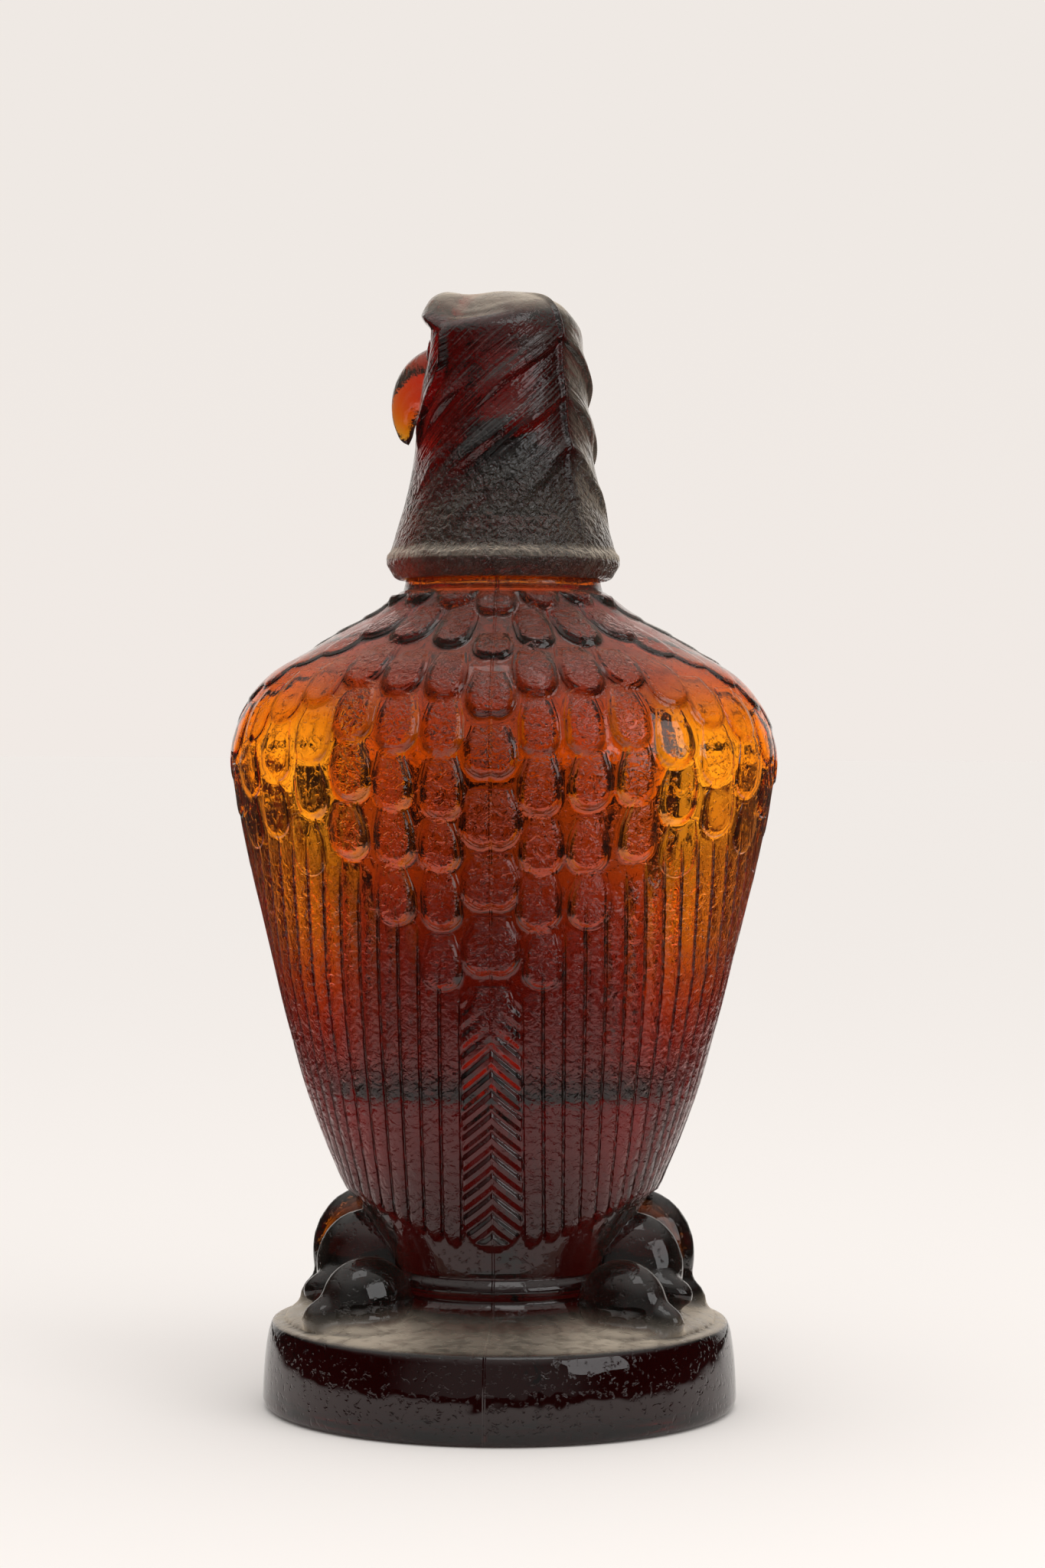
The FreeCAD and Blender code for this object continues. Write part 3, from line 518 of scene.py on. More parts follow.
def lay_flutes(skin):
    """Long round feathers side by side below the scales, and the broad tail feather between them. Gives
    the marks that their fine relief follows."""
    reach = np.abs(skin.arc) - TAIL_HALF
    quarter = skin.girth[:, None] / 4 - TAIL_HALF
    squeeze = np.maximum(FLUTE_STEP * FLUTES_TO_SIDE - quarter, 0.01) / FLUTES_TO_SIDE**2
    root = np.sqrt(np.maximum(FLUTE_STEP**2 - 4 * squeeze * reach, 0.04))
    count = (FLUTE_STEP - root) / (2 * squeeze)
    count = np.where(np.abs(skin.share) > 0.25, FLUTES_TO_SIDE * (4 * np.abs(skin.share)), count)
    hem = np.minimum(HEM_LIFT * (skin.share / HEM_SHARE) ** 2, HEM_MOST)
    up = (skin.fall_at(FLUTE_END_Z) - hem)[None, :] - skin.fall
    pitch = np.where(np.abs(skin.share) > 0.25, skin.girth[:, None] / 4 / FLUTES_TO_SIDE, root)
    tail = reach < 0
    place = np.where(tail, skin.arc / TAIL_HALF, 2 * (count % 1) - 1)
    bow = np.where(tail, TAIL_BOW, FLUTE_BOW)
    end = np.clip(1 - up / bow, 0, None)
    round_top = np.sqrt(np.clip(1 - place**2 - end**2, 0, 1))
    rise = np.where(tail, TAIL_RISE, FLUTE_RISE * np.clip(pitch / FLUTE_STEP, 0.35, 1.1))
    # Flatter high up on the flanks, and higher at the round ends
    rise = rise * (1 - 0.6 * eased(40, 60, np.abs(skin.arc)) * eased(84, 104, skin.height)[:, None])
    rise = rise * (1 + 0.5 * np.exp(-(np.maximum(up, 0) / 7) ** 2))
    raised = rise * np.where(tail, np.minimum(1, 1.9 * round_top), round_top**0.6)
    raised -= np.where(tail, QUILL_LINE[0] * np.exp(-(skin.arc / QUILL_LINE[1]) ** 2), 0)
    columns = np.abs(skin.arc) / SCALE_STEP
    last_tip = np.interp(columns, np.arange(len(LOWEST_TIP)), LOWEST_TIP)
    start = 1 - eased(last_tip - 2, last_tip + 14, skin.height[:, None] + 0 * columns)
    from_front = skin.girth[:, None] / 2 - np.abs(skin.arc)
    start *= eased(0, 3, from_front - front_edge(skin.height)[:, None])
    skin.relief = np.maximum(skin.relief, raised * start * (up > 0))
    return {
        "flute_count": count,
        "flute_depth": np.where(tail, 0, start * eased(0, 4, up)),
        "tail_barb": up + 0.9 * np.abs(skin.arc),
        "tail_depth": np.where(tail, start * eased(1, 4, up) * eased(0.1, 0.5, round_top), 0),
    }


def body_rows():
    """Rings of plinth, body and neck, from under the plinth up to the mouth and down into the throat."""
    plinth = [(z, r, r, 0.0) for r, z in PLINTH_RINGS]
    body = fair_line(BODY_STATIONS, BODY_ROWS, ROW_DENSITY)
    neck = [(z, r, r, 0.0) for r, z in NECK_RINGS]
    return np.array(plinth), body, np.array(neck)


def make_hollow(body):
    """The inside of the glass: thin at the wings, thick at back and breast, solid below."""
    walls = np.array(HOLLOW_WALLS)[::-1]
    height = np.linspace(walls[-1, 0], walls[0, 0], HOLLOW_ROWS)
    line = np.stack([np.interp(height, body[:, 0], body[:, c]) for c in range(4)], axis=1)
    points, girth = rings(line[::-1], COLUMNS)
    height = line[::-1, 0][:, None]
    arc = np.abs(column_shares(COLUMNS))[None, :] * girth[:, None]
    side, back, breast = (np.interp(height, walls[:, 0], walls[:, c]) for c in (1, 2, 3))
    on_back = 1 - eased(22, 56, arc)
    on_breast = 1 - eased(-4, 6, girth[:, None] / 2 - arc - front_edge(height))
    wall = side + (back - side) * on_back + (breast - side) * on_breast
    level = outward(points) * (1, 1, 0)
    level /= np.linalg.norm(level, axis=2, keepdims=True)
    points = (points - level * wall[:, :, None])[::-1]
    middle = points[-1].mean(axis=0)
    for share, floor_z in HOLLOW_FLOOR:
        last = middle + (points[HOLLOW_ROWS - 1] - middle) * share
        last[:, 2] = floor_z
        points = np.concatenate((points, last[None]))
    return points


def make_bottle():
    """Plinth, feathered body, collar, neck and hollow as one closed skin of glass."""
    plinth, body, neck = body_rows()
    body_points, girth = rings(body, COLUMNS)
    skin = Plumage(body, body_points, girth)
    lay_breast(skin)
    lay_back_scales(skin)
    flutes = lay_flutes(skin)
    relief = np.concatenate((skin.relief, skin.relief[:, :1]), axis=1)
    fade = eased(38.8, 42, body[:, 0]) * (1 - eased(220.5, 222, body[:, 0]))
    body_points += outward(body_points) * (relief * fade[:, None])[:, :, None]
    below, _ = rings(plinth, COLUMNS)
    above, _ = rings(neck, COLUMNS)
    points = np.concatenate((below, body_points, above, make_hollow(body)))
    marks = {}
    # Only the faces of the back's scales are crinkled, so on the wings the mark ends short of them
    smooth_wings = np.minimum(skin.edge, np.interp(np.abs(skin.arc), [34, 50], [2.3, 0.8]))
    laid = {"feather_edge": smooth_wings, **flutes, "clear": painted_shade_clearness(skin)}
    elsewhere = {"feather_edge": NO_FEATHER, "clear": 1.0}
    for mark, values in laid.items():
        whole = np.full(points.shape[:2], elsewhere.get(mark, 0.0))
        whole[len(below):len(below) + len(body)] = np.concatenate((values, values[:, :1]), axis=1)
        marks[mark] = whole
    marks["inside"] = np.zeros(points.shape[:2])
    marks["inside"][-HOLLOW_ROWS - len(HOLLOW_FLOOR):] = 1.0
    # Painted shade on the plinth and on the ledge
    marks["clear"][:len(below)] = PLINTH_PAINTED_SHADE_CLEAR
    marks["clear"][len(below) + len(body):][:LEDGE_ROWS] = LEDGE_PAINTED_SHADE_CLEAR
    piece = wrapped("amber_bottle", points, marks)
    for side in (-1, 1):
        grow_onto(piece, make_foot(side))
    smooth_all(piece)
    return piece


# One foot on the bird's right: middle, lengths, turn about Z and lean of the leg, a knuckle and its talon,
# the back toe and its talon, three front toes and the low mound that they stand on
FOOT_EGGS = [
    ((36.7, 13.0, 40.0), (33.5, 17, 37), 0, 0),
    ((35.5, -3.0, 37.5), (30, 18, 33), 0, 12),
    ((44.5, -9.0, 33.5), (19, 10, 10), -12, 14),
    ((34.5, -22.5, 30.5), (27, 18, 26), -33, 0),
    ((45.5, -29.5, 28.5), (13, 9, 9), -33, 20),
    ((22.0, 35.2, 27.8), (13, 33, 17), -10, 0),
    ((33.6, 24.4, 27.8), (13, 33, 17), -42, 0),
    ((40.6, 8.6, 27.8), (13, 33, 17), -76, 0),
    ((33.0, 2.0, 24.0), (54, 88, 7), 0, 0),
]
# Side of the small cubes in which the drops are melted together
FOOT_GRAIN = 1.25
# Painted shade darkens the foot, all but the leg's upper outer edge, which is thin enough to glow: its
# # middle and half lengths across and up, clearness of the foot under the painted shade, and what the glow
# adds to it
LEG_MIDDLE = (36.7, 40.0)
LEG_HALF = (16.7, 18.5)
FOOT_PAINTED_SHADE_CLEAR = 0.14
LEG_GLOW = 0.84


def make_foot(side):
    """Leg, toes and talons of one foot."""
    eggs = []
    for (x, y, z), lengths, turn, lean in FOOT_EGGS:
        eggs.append(((side * x, y, z), lengths, side * turn, side * lean))
    piece = lobes("foot", eggs, FOOT_GRAIN)
    x, y, z = places(piece).T
    out = np.hypot((np.abs(x) - LEG_MIDDLE[0]) / LEG_HALF[0], (z - LEG_MIDDLE[1]) / LEG_HALF[1])
    glow = eased(0.62, 0.78, out) * (1 - eased(0.9, 1.0, out)) * eased(38, 46, z) * eased(2, 7, y)
    # Painted shade over the foot, lifted along the leg's outer edge
    put_mark(piece, "clear", FOOT_PAINTED_SHADE_CLEAR + LEG_GLOW * glow)
    put_mark(piece, "feather_edge", np.full(len(x), NO_FEATHER))
    return piece


# Inside of the head, from the top of its cup down to the rim: radius and height above the rim
CUP_RINGS = [
    (0, 65), (5, 64.9), (9, 64.4), (10.9, 63), (11.6, 60.5), (12.3, 55), (13.6, 47), (16.2, 39),
    (17.2, 37.2), (17.2, 28), (17.2, 19), (17.5, 18.2), (20, 18), (23, 18), (24.1, 17.6), (24.6, 15),
    (25.6, 9.5), (26.7, 3.2), (27.25, 0.8), (27.6, 0.2), (28.2, 0),
]
# Outside of the head, from rim to crown: height above the rim and radius
HEAD_STATIONS = [
    (0.0, 28.6), (0.3, 29.4), (2.2, 30.8), (4.3, 31.9), (5.6, 31.9), (6.8, 31.3), (8.2, 30.7),
    (10.5, 30.0), (15.0, 28.7), (20.0, 27.2), (26.0, 25.8), (32.0, 24.7), (40.0, 23.9), (48.0, 23.0),
    (57.0, 22.0), (64.0, 21.6), (69.0, 21.1), (72.6, 19.6), (75.0, 17.2), (76.4, 14.0), (77.8, 8.8),
    (78.7, 3.8), (79.0, 0.0),
]
HEAD_COLUMNS = 288
HEAD_ROWS = 170
# Beak: distance in front of the neck's axis, height above the rim, half height, half width
BEAK_STATIONS = [
    (15.0, 56.0, 9.5, 7.2), (20.0, 56.5, 9.6, 7.4), (27.0, 57.0, 8.8, 6.6), (33.0, 55.6, 7.6, 5.7),
    (37.4, 51.8, 6.2, 4.7), (39.4, 47.4, 4.6, 3.5), (39.6, 43.6, 3.0, 2.4), (38.9, 40.6, 1.6, 1.4),
    (38.2, 39.0, 0.0, 0.0),
]
BEAK_ROWS = 60
BEAK_COLUMNS = 72
# Painted shade darkens the beak through its clearness; dust gives it a haze
BEAK_PAINTED_SHADE_CLEAR = 0.6
BEAK_DUST = 0.2

# Folds in the neck feathers on each side of the nape: distance from the nape, height above the
# rim, length and rise
NECK_LOCKS = [
    (27, 33, 15, 2.1), (17, 53, 12, 1.9), (9, 43, 9, 1.9), (12, 24, 12, 1.6), (30, 19, 12, 1.2),
    (36, 46, 9, 1.6), (6, 61, 8, 1.4), (3, 33, 7, 1.5), (40, 30, 8, 1.2),
]
# Other relief of the head: how far it stands out or in
BROW_RISE = 4.2
CROWN_EDGE_RISE = 2.6
SOCKET_DEPTH = 2.4
EYE_RISE = 1.8
CHEEK_RISE = 1.9
CROWN_CUT = 4.5
BEAD_RISE = 0.35
NAPE_RISE = 0.9
# The eye's place: degrees from the beak, and height above the rim
EYE_LEAN = 43
EYE_HEIGHT = 63
# Heights above the rim, and how many degrees from the beak the cheek's ridge stands there
CHEEK_RIDGE = ([36, 43, 47, 52, 58, 68], [62, 70, 75, 82, 87, 86])
# Painted shade on the head as clearness of its glass: at the nape, and what the face and the rim add to it
NAPE_PAINTED_SHADE_CLEAR = 0.14
FACE_CLEAR = 0.4
RIM_CLEAR = 0.25
# Dust on the head, and a painted highlight of sheen on the crown: everywhere, low down, beyond the nape,
# # on the crown and on the rim's bead
HEAD_DUST_AND_SHEEN = (0.025, 0.18, 0.34, 0.9, 0.9)


def head_relief(from_beak, height, radius):
    """Brows, eyes, cheeks and long neck feathers, by angle from the beak and height above the rim."""
    off = np.abs(from_beak)
    behind = (math.pi - off) * radius
    relief = np.zeros_like(off)
    lean = np.degrees(off)
    brow_line = 71.5 - 0.0022 * (lean - 40) ** 2
    on_brow = eased(4, 22, lean) * (1 - eased(58, 88, lean))
    over = height - brow_line
    brow = np.where(over > 0, np.exp(-(over / 5.5) ** 2), np.exp(-(over / 1.5) ** 2))
    relief += BROW_RISE * on_brow * brow
    crown_edge = eased(0, 30, lean) * (1 - eased(50, 95, lean)) * np.exp(-((height - 75.4) / 2.6) ** 2)
    relief += CROWN_EDGE_RISE * crown_edge
    socket = np.exp(-((lean - EYE_LEAN) / 17) ** 2 - ((height - EYE_HEIGHT - 0.5) / 5.5) ** 2)
    relief -= SOCKET_DEPTH * socket
    eye = np.clip(1 - ((lean - EYE_LEAN) / 8.5) ** 2 - ((height - EYE_HEIGHT) / 3.3) ** 2, 0, 1)
    relief += EYE_RISE * np.sqrt(eye)
    across = np.radians(lean - np.interp(height, *CHEEK_RIDGE)) * radius
    cheek = np.exp(-(across / 1.2) ** 2) * eased(34, 42, height) * (1 - eased(64, 70, height))
    relief += CHEEK_RISE * cheek
    relief -= CROWN_CUT * np.sin(off) ** 2 * np.exp(-((height - 74) / 4) ** 2)
    relief += BEAD_RISE * np.exp(-((height - 6.6) / 0.6) ** 2)
    for across_lock, along_lock, broad, tall in NECK_LOCKS:
        slide = (height - along_lock) * 0.8 + (behind - across_lock) * 0.6
        cross = (height - along_lock) + 0.75 * (behind - across_lock) + 0.02 * slide**2
        fold = np.where(cross > 0, np.exp(-(cross / 4.5) ** 2), np.exp(-(cross / 1.1) ** 2))
        reach = np.exp(-(((behind - across_lock) - 0.5 * (height - along_lock)) / broad) ** 2)
        relief += tall * fold * reach
    relief += NAPE_RISE * np.exp(-(behind / 0.8) ** 2) * eased(8, 16, height)
    return relief


def turned_about_axis(points, angle):
    """Turns points about the neck's axis."""
    turn = np.array(Matrix.Rotation(angle, 3, "Z"))
    return points @ turn.T


def make_beak():
    """The hooked beak, a bent horn that starts inside the head; along +X before the head is turned."""
    line = fair_line(BEAK_STATIONS, BEAK_ROWS)
    x, height, half_height, half_width = line.T
    heading = np.stack((np.gradient(x), np.gradient(height)), axis=1)
    heading /= np.linalg.norm(heading, axis=1, keepdims=True)
    turn = np.linspace(0, math.tau, BEAK_COLUMNS + 1)[None, :]
    up = half_height[:, None] * np.cos(turn)
    out = half_width[:, None] * np.sin(turn)
    gape = 1 - 0.08 * np.exp(-((np.cos(turn) + 0.25) / 0.12) ** 2)
    points = np.empty((BEAK_ROWS, BEAK_COLUMNS + 1, 3))
    points[:, :, 0] = x[:, None] - heading[:, 1:] * up
    points[:, :, 1] = out * gape
    points[:, :, 2] = height[:, None] + heading[:, :1] * up + RIM_Z
    start = np.broadcast_to(points[0].mean(axis=0), (1, BEAK_COLUMNS + 1, 3))
    points = np.concatenate((start, points))
    marks = {"clear": np.full(points.shape[:2], BEAK_PAINTED_SHADE_CLEAR), "grime_and_sheen": np.full(points.shape[:2], BEAK_DUST)}
    return wrapped("beak", turned_about_axis(points, BEAK_HEADING), marks)


def make_head():
    """The eagle's head: cup, skirt and rim inside, feathers, brows and beak outside."""
    cup = np.array([(z, r, r, 0.0) for r, z in CUP_RINGS])
    outside = fair_line([(z, r, r, 0.0) for z, r in HEAD_STATIONS], HEAD_ROWS)
    outer, _ = rings(outside, HEAD_COLUMNS)
    inner, _ = rings(cup, HEAD_COLUMNS)
    from_nape = math.tau * column_shares(HEAD_COLUMNS)[None, :] + 0 * outer[:, :, 2]
    height = outer[:, :, 2]
    radius = outside[:, 1][:, None] + 0 * height
    relief = head_relief(math.pi - np.abs(from_nape), height, radius)
    relief *= 1 - eased(76, 79, height)
    outer = outer + outward(outer) * relief[:, :, None]
    points = np.concatenate((inner, outer))
    points[:, :, 2] += RIM_Z
    # Painted shade darkens the head, less on the face and at the rim
    clear = NAPE_PAINTED_SHADE_CLEAR + FACE_CLEAR * eased(1.45, 1.9, np.abs(from_nape))
    clear += RIM_CLEAR * (1 - eased(2, 9, height))
    everywhere, low, nape, crown_sheen, bead = HEAD_DUST_AND_SHEEN
    beyond_nape = eased(0.03, 0.16, from_nape) * (1 - eased(1.2, 1.8, from_nape)) * eased(9, 20, height)
    grime_and_sheen = everywhere + low * (1 - eased(14, 34, height)) + nape * beyond_nape
    # Painted highlight of sheen on the crown
    grime_and_sheen += crown_sheen * eased(70.5, 76, height)
    grime_and_sheen += bead * eased(4.8, 5.8, height) * (1 - eased(7.4, 9.4, height))
    marks = {
        "lock_across": height + LOCK_SLOPE * np.abs(from_nape) * radius,
        "lock_along": from_nape * radius - LOCK_SLOPE * height,
        "clear": clear,
        "grime_and_sheen": grime_and_sheen,
    }
    for mark, values in marks.items():
        within = np.full(inner.shape[:2], 1.0 if mark == "clear" else 0.0)
        marks[mark] = np.concatenate((within, values))
    piece = wrapped("amber_head", turned_about_axis(points, BEAK_HEADING - math.pi / 2), marks)
    grow_onto(piece, make_beak())
    smooth_all(piece)
    return piece


def linear(code):
    """Linear colour of an sRGB hex value."""
    parts = [int(code[i:i + 2], 16) / 255 for i in (1, 3, 5)]
    return tuple(c / 12.92 if c <= 0.04045 else ((c + 0.055) / 1.055) ** 2.4 for c in parts) + (1.0,)


def add_node(tree, kind, inputs=None, take=0, **settings):
    """Adds a node with its settings and gives one of its outputs. An input is given as a value or as
    another node's output."""
    made = tree.nodes.new("ShaderNode" + kind)
    for setting, value in settings.items():
        setattr(made, setting, value)
    for name, value in (inputs or {}).items():
        if isinstance(value, bpy.types.NodeSocket):
            tree.links.new(value, made.inputs[name])
        else:
            made.inputs[name].default_value = value
    return made.outputs[take] if made.outputs else None


def new_material(name):
    """An empty node material and its tree."""
    made = bpy.data.materials.new(name)
    made.use_nodes = True
    made.node_tree.nodes.clear()
    return made, made.node_tree


def bottle_skin(tree, place):
    """Fine relief, dust, sheen and clearness of the bottle: outlines and crinkled faces of the scales,
    grooves of the long feathers with painted shade in them, barbs of the tail, the mould's seam, dust on the
    plinth and a painted sheen on the shoulders."""
    x, _, z = add_node(tree, "SeparateXYZ", {0: place}).node.outputs
    aside = add_node(tree, "Math", {0: x}, operation="ABSOLUTE")
    marks = {}
    for mark in ("feather_edge", "flute_count", "flute_depth", "tail_barb", "tail_depth", "clear"):
        marks[mark] = add_node(tree, "Attribute", take="Fac", attribute_name=mark)
    grains = {}
    for grain, (size, detail, distortion) in BOTTLE_GRAINS.items():
        grains[grain] = add_node(tree, "TexNoise", {
            "Vector": place, "Scale": 1 / size, "Detail": detail, "Distortion": distortion})
    # Distance from the nearest groove, in flutes, and from the nearest barb, in millimetres
    off_groove = add_node(tree, "Math", {0: marks["flute_count"], 1: 0.5}, operation="PINGPONG")
    off_barb = add_node(tree, "Math", {0: marks["tail_barb"], 1: BARB_STEP / 2}, operation="PINGPONG")
    # A value, where it starts and where it ends; then what it gives there, if that isn't 0 and 1
    steps = {
        "outline": (marks["feather_edge"], 0.0, 0.5),
        "face": (marks["feather_edge"], 0.9, 2.2),
        "face_pits": (grains["face_pits"], 0.58, 0.70),
        "groove": (off_groove, 0.12, 0.0),
        "painted_groove_shade": (off_groove, 0.14, 0.03),
        "streaks": (grains["streaks"], 0.36, 0.5),
        "barb": (off_barb, 0.38 * BARB_STEP, 0.04 * BARB_STEP),
        "seam": (aside, 0.5, 0.1),
        "plinth_edge": (z, 23.0, 23.9),
        "plinth_top": (z, 25.0, 31.0, 1.0, 0.04),
        "plinth_sides": (aside, 8.0, 34.0, 0.35, 1.0),
        "shoulders": (z, 186.0, 210.0, 0.0, 0.14),
    }
    for step, reach in steps.items():
        steps[step] = add_node(tree, "MapRange", dict(enumerate(reach)), interpolation_type="SMOOTHSTEP")
    layers = [
        (1.0, steps["outline"], 0.2),
        (steps["face"], grains["crinkles"], 0.7),
        (steps["face"], steps["face_pits"], -0.16),
        (marks["flute_depth"], steps["groove"], -0.7),
        (marks["flute_depth"], grains["hammering"], 0.55),
        (marks["tail_depth"], steps["barb"], -1.1),
        (1.0, steps["seam"], 0.4),
    ]
    # Dust on the plinth's top, and a painted sheen on the shoulders
    dust_and_sheen = add_node(tree, "Math", {0: steps["plinth_edge"], 1: steps["plinth_top"]}, operation="MULTIPLY")
    dust_and_sheen = add_node(tree, "Math", {0: dust_and_sheen, 1: steps["plinth_sides"]}, operation="MULTIPLY")
    dust_and_sheen = add_node(tree, "Math", {0: dust_and_sheen, 1: steps["shoulders"]}, operation="MAXIMUM")
    # Painted shade in the grooves of the long feathers, broken into streaks, dims the clearness
    dark = add_node(tree, "Math", {0: steps["painted_groove_shade"], 1: steps["streaks"]}, operation="MULTIPLY")
    dark = add_node(tree, "Math", {0: dark, 1: marks["flute_depth"]}, operation="MULTIPLY")
    left = add_node(tree, "MapRange", {0: dark, 3: 1.0, 4: 0.35}, interpolation_type="SMOOTHSTEP")
    clear = add_node(tree, "Math", {0: marks["clear"], 1: left}, operation="MULTIPLY")
    return layers, dust_and_sheen, clear


def head_skin(tree, place):
    """Fine relief, dust and painted sheen, and clearness with painted shade, of the head: barbs that run
    up and back, and a coarse stipple above the rim."""
    z = add_node(tree, "SeparateXYZ", {0: place}, take="Z")
    marks = {}
    for mark in ("lock_across", "lock_along", "grime_and_sheen", "clear"):
        marks[mark] = add_node(tree, "Attribute", take="Fac", attribute_name=mark)
    along = add_node(tree, "Math", {0: marks["lock_along"], 1: LOCK_STRETCH}, operation="MULTIPLY")
    combed = add_node(tree, "CombineXYZ", {0: marks["lock_across"], 1: along})
    layers = []
    # Where a grain lies and its distortion, heights over which it fades, what is left above, and depth
    for vector, distortion, low, high, least, depth in (
        (combed, 0.4, RIM_Z + 62, RIM_Z + 70, 0.1, 0.8),
        (place, 0.6, RIM_Z + 22, RIM_Z + 36, 0.15, 1.6),
    ):
        grain = add_node(tree, "TexNoise", {
            "Vector": vector, "Scale": 1 / HEAD_GRAIN, "Detail": 2.0, "Distortion": distortion})
        below = add_node(tree, "MapRange", {
            0: z, 1: low, 2: high, 3: 1.0, 4: least}, interpolation_type="SMOOTHSTEP")
        layers.append((below, grain, depth))
    return layers, marks["grime_and_sheen"], marks["clear"]


def amber_glass(name, density, skin):
    """Pressed soda-lime glass, amber through and through: thin walls glow orange and thick ones go
    almost black. The chilled mould left it glossy but wavy and pitted; dust lies in the corners. Its colour
    carries painted shade, and its sheen painted highlights as well as dust."""
    made, tree = new_material(name)
    metres = add_node(tree, "TexCoord", take="Object")
    place = add_node(tree, "VectorMath", {0: metres, 1: (1 / MM,) * 3}, operation="MULTIPLY")
    layers, dust_and_sheen_mark, clear = skin(tree, place)
    grains = {}
    for grain, (size, detail, distortion) in GLASS_GRAINS.items():
        grains[grain] = add_node(tree, "TexNoise", {
            "Vector": place, "Scale": 1 / size, "Detail": detail, "Distortion": distortion})
    inside = add_node(tree, "Attribute", take="Fac", attribute_name="inside")
    steps = {
        "pits": (grains["pits"], 0.56, 0.72),
        "patches": (grains["patches"], 0.3, 0.6, 0.6, 1.0),
        "outside": (inside, 0.0, 1.0, 1.0, 0.1),
    }
    for step, reach in steps.items():
        steps[step] = add_node(tree, "MapRange", dict(enumerate(reach)), interpolation_type="SMOOTHSTEP")
    # Each layer of relief: where it lies, its pattern and its height in millimetres
    height = 0.0
    for where, pattern, rise in [(1.0, grains["waves"], 0.18), (1.0, steps["pits"], -0.07)] + layers:
        laid = add_node(tree, "Math", {0: where, 1: pattern}, operation="MULTIPLY")
        height = add_node(tree, "Math", {0: laid, 1: rise, 2: height}, operation="MULTIPLY_ADD")
    height = add_node(tree, "Math", {0: height, 1: steps["outside"]}, operation="MULTIPLY")
    bump = add_node(tree, "Bump", {"Height": height, "Distance": MM, "Strength": 1.0})
    # Sheen: dust on the plinth and the rim's bead, and painted sheen on the shoulders and crown
    dust_and_sheen = add_node(tree, "Math", {0: dust_and_sheen_mark, 1: steps["patches"]}, operation="MULTIPLY")
    rough = add_node(tree, "MapRange", {
        0: dust_and_sheen, 1: 0.25, 2: 1.0, 3: 0.03, 4: 0.4}, interpolation_type="SMOOTHSTEP")
    # The clearness carries painted shade; the shader takes the root of its colour at each face, so it is
    # squared
    painted_shade_colour = add_node(tree, "Math", {0: clear, 1: clear}, operation="MULTIPLY")
    glass = add_node(tree, "BsdfPrincipled", {
        "Base Color": painted_shade_colour, "Roughness": rough, "IOR": 1.5, "Transmission Weight": 1.0,
        "Sheen Weight": dust_and_sheen, "Sheen Roughness": 0.7, "Sheen Tint": linear("#ead9c2"), "Normal": bump})
    depth = add_node(tree, "VolumeAbsorption", {"Color": linear(GLASS_COLOUR), "Density": density})
    add_node(tree, "OutputMaterial", {"Surface": glass, "Volume": depth})
    return made


def grained(name, grain, tones, bump, roughness):
    """A matt material: size and detail of its grain, where the grain turns from dark to light and both
    colours, and depth and strength of the bumps."""
    made, tree = new_material(name)
    size, detail = grain
    (low, dark), (high, light) = tones
    depth, strength = bump
    metres = add_node(tree, "TexCoord", take="Object")
    noise = add_node(tree, "TexNoise", {"Vector": metres, "Scale": 1 / (size * MM), "Detail": detail})
    share = add_node(tree, "MapRange", {0: noise, 1: low, 2: high})
    tone = add_node(tree, "Mix", {0: share, 6: linear(dark), 7: linear(light)}, take=2, data_type="RGBA")
    normal = add_node(tree, "Bump", {"Height": noise, "Distance": depth * MM, "Strength": strength})
    skin = add_node(tree, "BsdfPrincipled", {"Base Color": tone, "Roughness": roughness, "Normal": normal})
    add_node(tree, "OutputMaterial", {"Surface": skin})
    return made


def natural_cork():
    """Punched cork: warm tan, matt, with darker pores."""
    return grained("natural_cork", (2.2, 5.0), ((0.32, "#6b4526"), (0.62, "#c59b6b")), (0.4, 0.6), 0.85)


def ring_rubber():
    """Moulded black rubber, a little grey with age and finely grained."""
    return grained("moulded_rubber", (0.8, 4.0), ((0.0, "#1d1b1a"), (1.0, "#34302d")), (0.1, 0.5), 0.6)


def dress(piece, material):
    """Gives a piece one material all over."""
    piece.data.materials.clear()
    piece.data.materials.append(material)


def make_floor():
    """A plain pale floor that runs to the horizon and takes the shadow. All but the camera see it dark
    away from the decanter."""
    bpy.ops.object.select_all(action="DESELECT")
    bpy.ops.mesh.primitive_plane_add(size=FLOOR_SIZE)
    floor = take_object()
    floor.name = "floor"
    made, tree = new_material("pale_paper")
    metres = add_node(tree, "TexCoord", take="Object")
    x, y, _ = add_node(tree, "SeparateXYZ", {0: metres}).node.outputs
    aside = add_node(tree, "Math", {0: x}, operation="ABSOLUTE")
    sides = add_node(tree, "MapRange", {0: aside, 1: 0.32, 2: 0.18}, interpolation_type="SMOOTHSTEP")
    front = add_node(tree, "MapRange", {0: y, 1: -0.36, 2: -0.2}, interpolation_type="SMOOTHSTEP")
    sheet = add_node(tree, "Math", {0: sides, 1: front}, operation="MINIMUM")
    seen = add_node(tree, "LightPath", take="Is Camera Ray")
    pale = add_node(tree, "Math", {0: sheet, 1: seen}, operation="MAXIMUM")
    tone = add_node(tree, "Mix", {
        0: pale, 6: linear("#2e2b29"), 7: linear("#f6f0eb")}, take=2, data_type="RGBA")
    skin = add_node(tree, "BsdfPrincipled", {
        "Base Color": tone, "Roughness": 0.8, "Specular IOR Level": 0.0})
    add_node(tree, "OutputMaterial", {"Surface": skin})
    dress(floor, made)


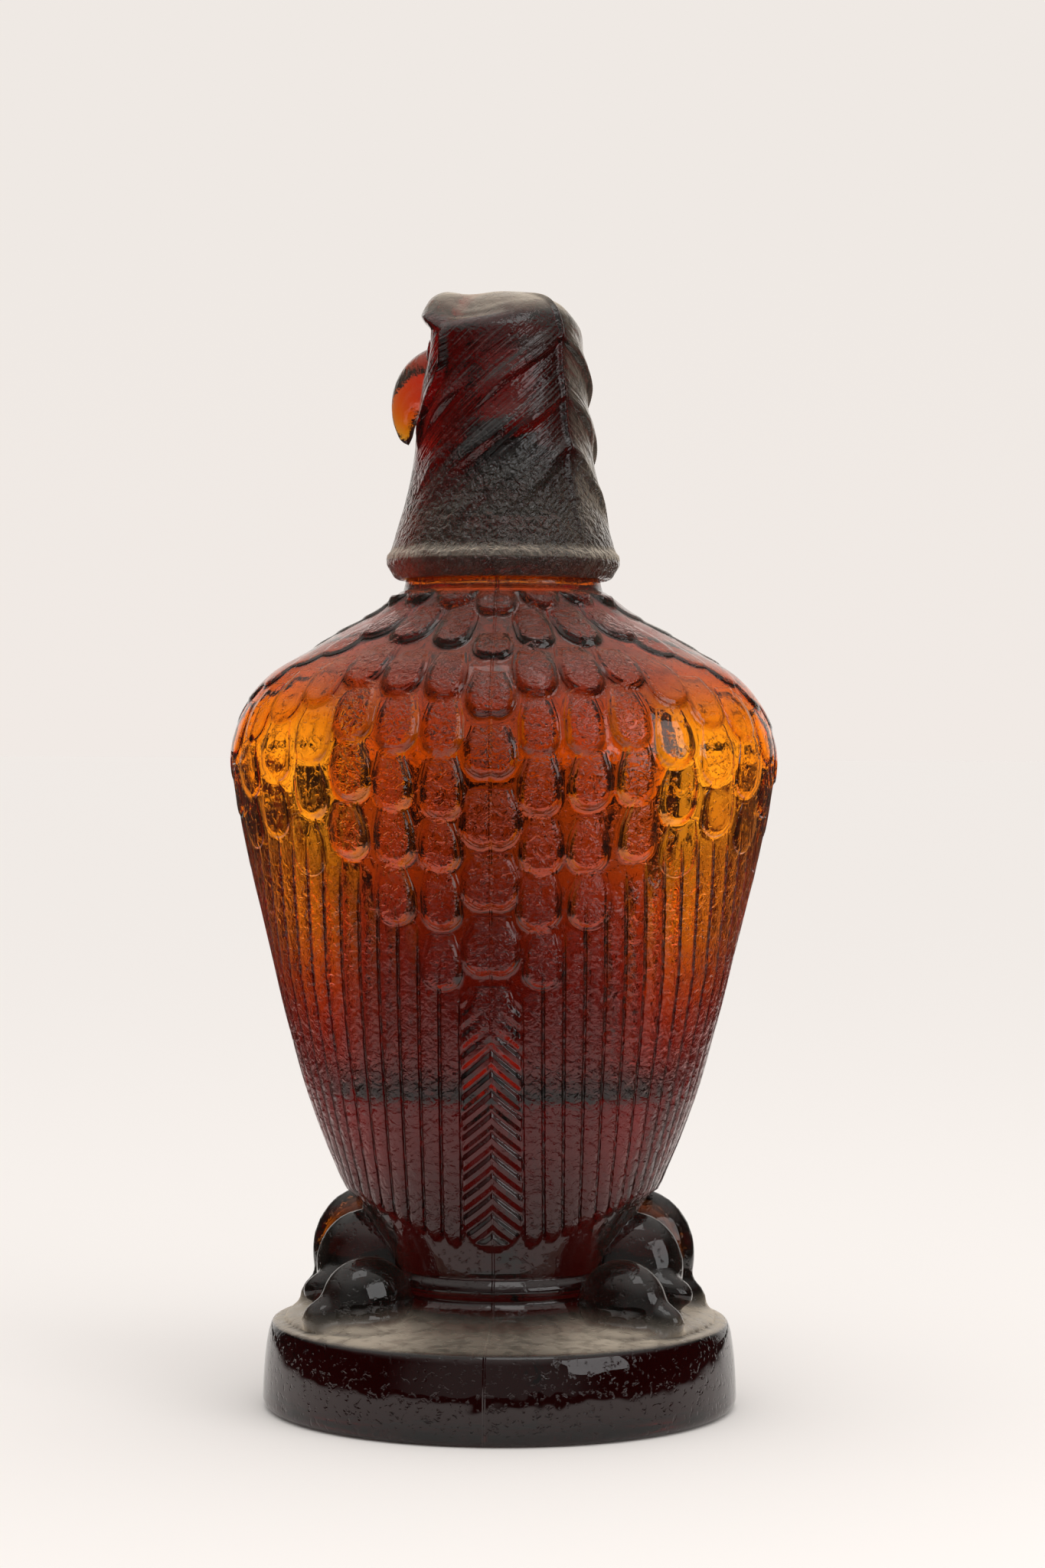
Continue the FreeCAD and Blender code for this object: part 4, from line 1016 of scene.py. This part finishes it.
def make_world():
    """The room: pale all round to the camera. Reflections in the glass see a narrow bright backdrop, a
    soft ceiling and dark sides; light through the glass comes from a broad pale sweep behind it."""
    world = bpy.data.worlds.new("studio")
    bpy.context.scene.world = world
    world.use_nodes = True
    tree = world.node_tree
    tree.nodes.clear()
    rays = add_node(tree, "LightPath").node.outputs
    heading = add_node(tree, "TexCoord", take="Generated")
    _, y, z = add_node(tree, "SeparateXYZ", {0: heading}).node.outputs
    # A direction, where the light starts and where it ends, and its strength there
    lit = {
        "backdrop": (y, 0.70, 0.93, 0.02, 0.95),
        "behind": (y, -0.25, 0.4, 0.05, 1.85),
        "ceiling": (z, 0.35, 0.85, 0.0, 0.95),
        "camera_side": (y, -0.55, -0.95, 0.0, 0.3),
    }
    for part, reach in lit.items():
        lit[part] = add_node(tree, "MapRange", dict(enumerate(reach)), interpolation_type="SMOOTHSTEP")
    through = add_node(tree, "Math", {0: lit["ceiling"], 1: 0.3, 2: lit["behind"]}, operation="MULTIPLY_ADD")
    mirrored = add_node(tree, "Math", {0: lit["backdrop"], 1: lit["ceiling"]}, operation="ADD")
    mirrored = add_node(tree, "Math", {0: mirrored, 1: lit["camera_side"]}, operation="ADD")
    strength = add_node(tree, "Mix", {
        0: rays["Is Transmission Ray"], 2: mirrored, 3: through}, data_type="FLOAT")
    from_glass = add_node(tree, "Math", {
        0: rays["Is Glossy Ray"], 1: rays["Is Transmission Ray"]}, operation="MAXIMUM")
    in_glass = add_node(tree, "Background", {"Color": linear("#f6f1ec"), "Strength": strength})
    lights = add_node(tree, "Background", {"Color": linear("#ffffff"), "Strength": 0.95})
    inner = add_node(tree, "MixShader", {0: from_glass, 1: lights, 2: in_glass})
    climb = add_node(tree, "MapRange", {0: z, 2: 0.14})
    paper = add_node(tree, "Mix", {
        0: climb, 6: linear("#f1eae5"), 7: linear("#efe9e4")}, take=2, data_type="RGBA")
    shown = add_node(tree, "Background", {"Color": paper, "Strength": 1.0})
    whole = add_node(tree, "MixShader", {0: rays["Is Camera Ray"], 1: inner, 2: shown})
    add_node(tree, "OutputWorld", {"Surface": whole})


def make_lamp(name, place, size, energy):
    """One soft box, turned to the decanter."""
    bpy.ops.object.light_add(type="AREA", location=place)
    lamp = take_object()
    lamp.name = name
    lamp.data.shape = "RECTANGLE"
    lamp.data.size, lamp.data.size_y = size
    lamp.data.energy = energy
    aim = Vector(LAMP_AIM) - lamp.location
    lamp.rotation_euler = aim.to_track_quat("-Z", "Y").to_euler()


def make_lamps():
    """One soft box above, between camera and object, and one at the right on the camera's side."""
    make_lamp("soft_box", (0.15, -0.5, 1.2), (0.6, 0.45), 1.5)
    make_lamp("side_box", (0.78, -0.62, 0.42), (0.6, 0.5), 2.2)


def make_camera():
    """Stands where the photograph was taken from."""
    data = bpy.data.cameras.new("camera")
    camera = bpy.data.objects.new("camera", data)
    bpy.context.scene.collection.objects.link(camera)
    data.sensor_width = SENSOR_WIDTH
    data.lens = FOCAL_PIXELS / FRAME_HEIGHT * SENSOR_WIDTH
    data.clip_end = 100.0
    aside = (FRAME_WIDTH / 2 - AXIS_PIXEL) / FOCAL_PIXELS * CAMERA_AWAY
    round_axis = Matrix.Rotation(CAMERA_AZIMUTH, 4, "Z")
    stand = Matrix.Translation(Vector((aside, -CAMERA_AWAY, CAMERA_HEIGHT)) * MM)
    look = Matrix.Rotation(math.pi / 2 - CAMERA_TILT, 4, "X") @ Matrix.Rotation(CAMERA_ROLL, 4, "Z")
    camera.matrix_world = round_axis @ stand @ look
    bpy.context.scene.camera = camera


bottle = make_bottle()
dress(bottle, amber_glass("pressed_amber_glass", BOTTLE_DENSITY, bottle_skin))
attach(bottle, "bottle")
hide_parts("bottle")

head = make_head()
dress(head, amber_glass("pressed_amber_glass_head", HEAD_DENSITY, head_skin))
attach(head, "head")
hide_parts("eagle_head")

dress(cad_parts["cork_stopper"], natural_cork())
dress(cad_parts["seat_ring"], ring_rubber())

make_floor()
make_world()
make_lamps()
make_camera()
bpy.context.scene.view_settings.view_transform = "Standard"
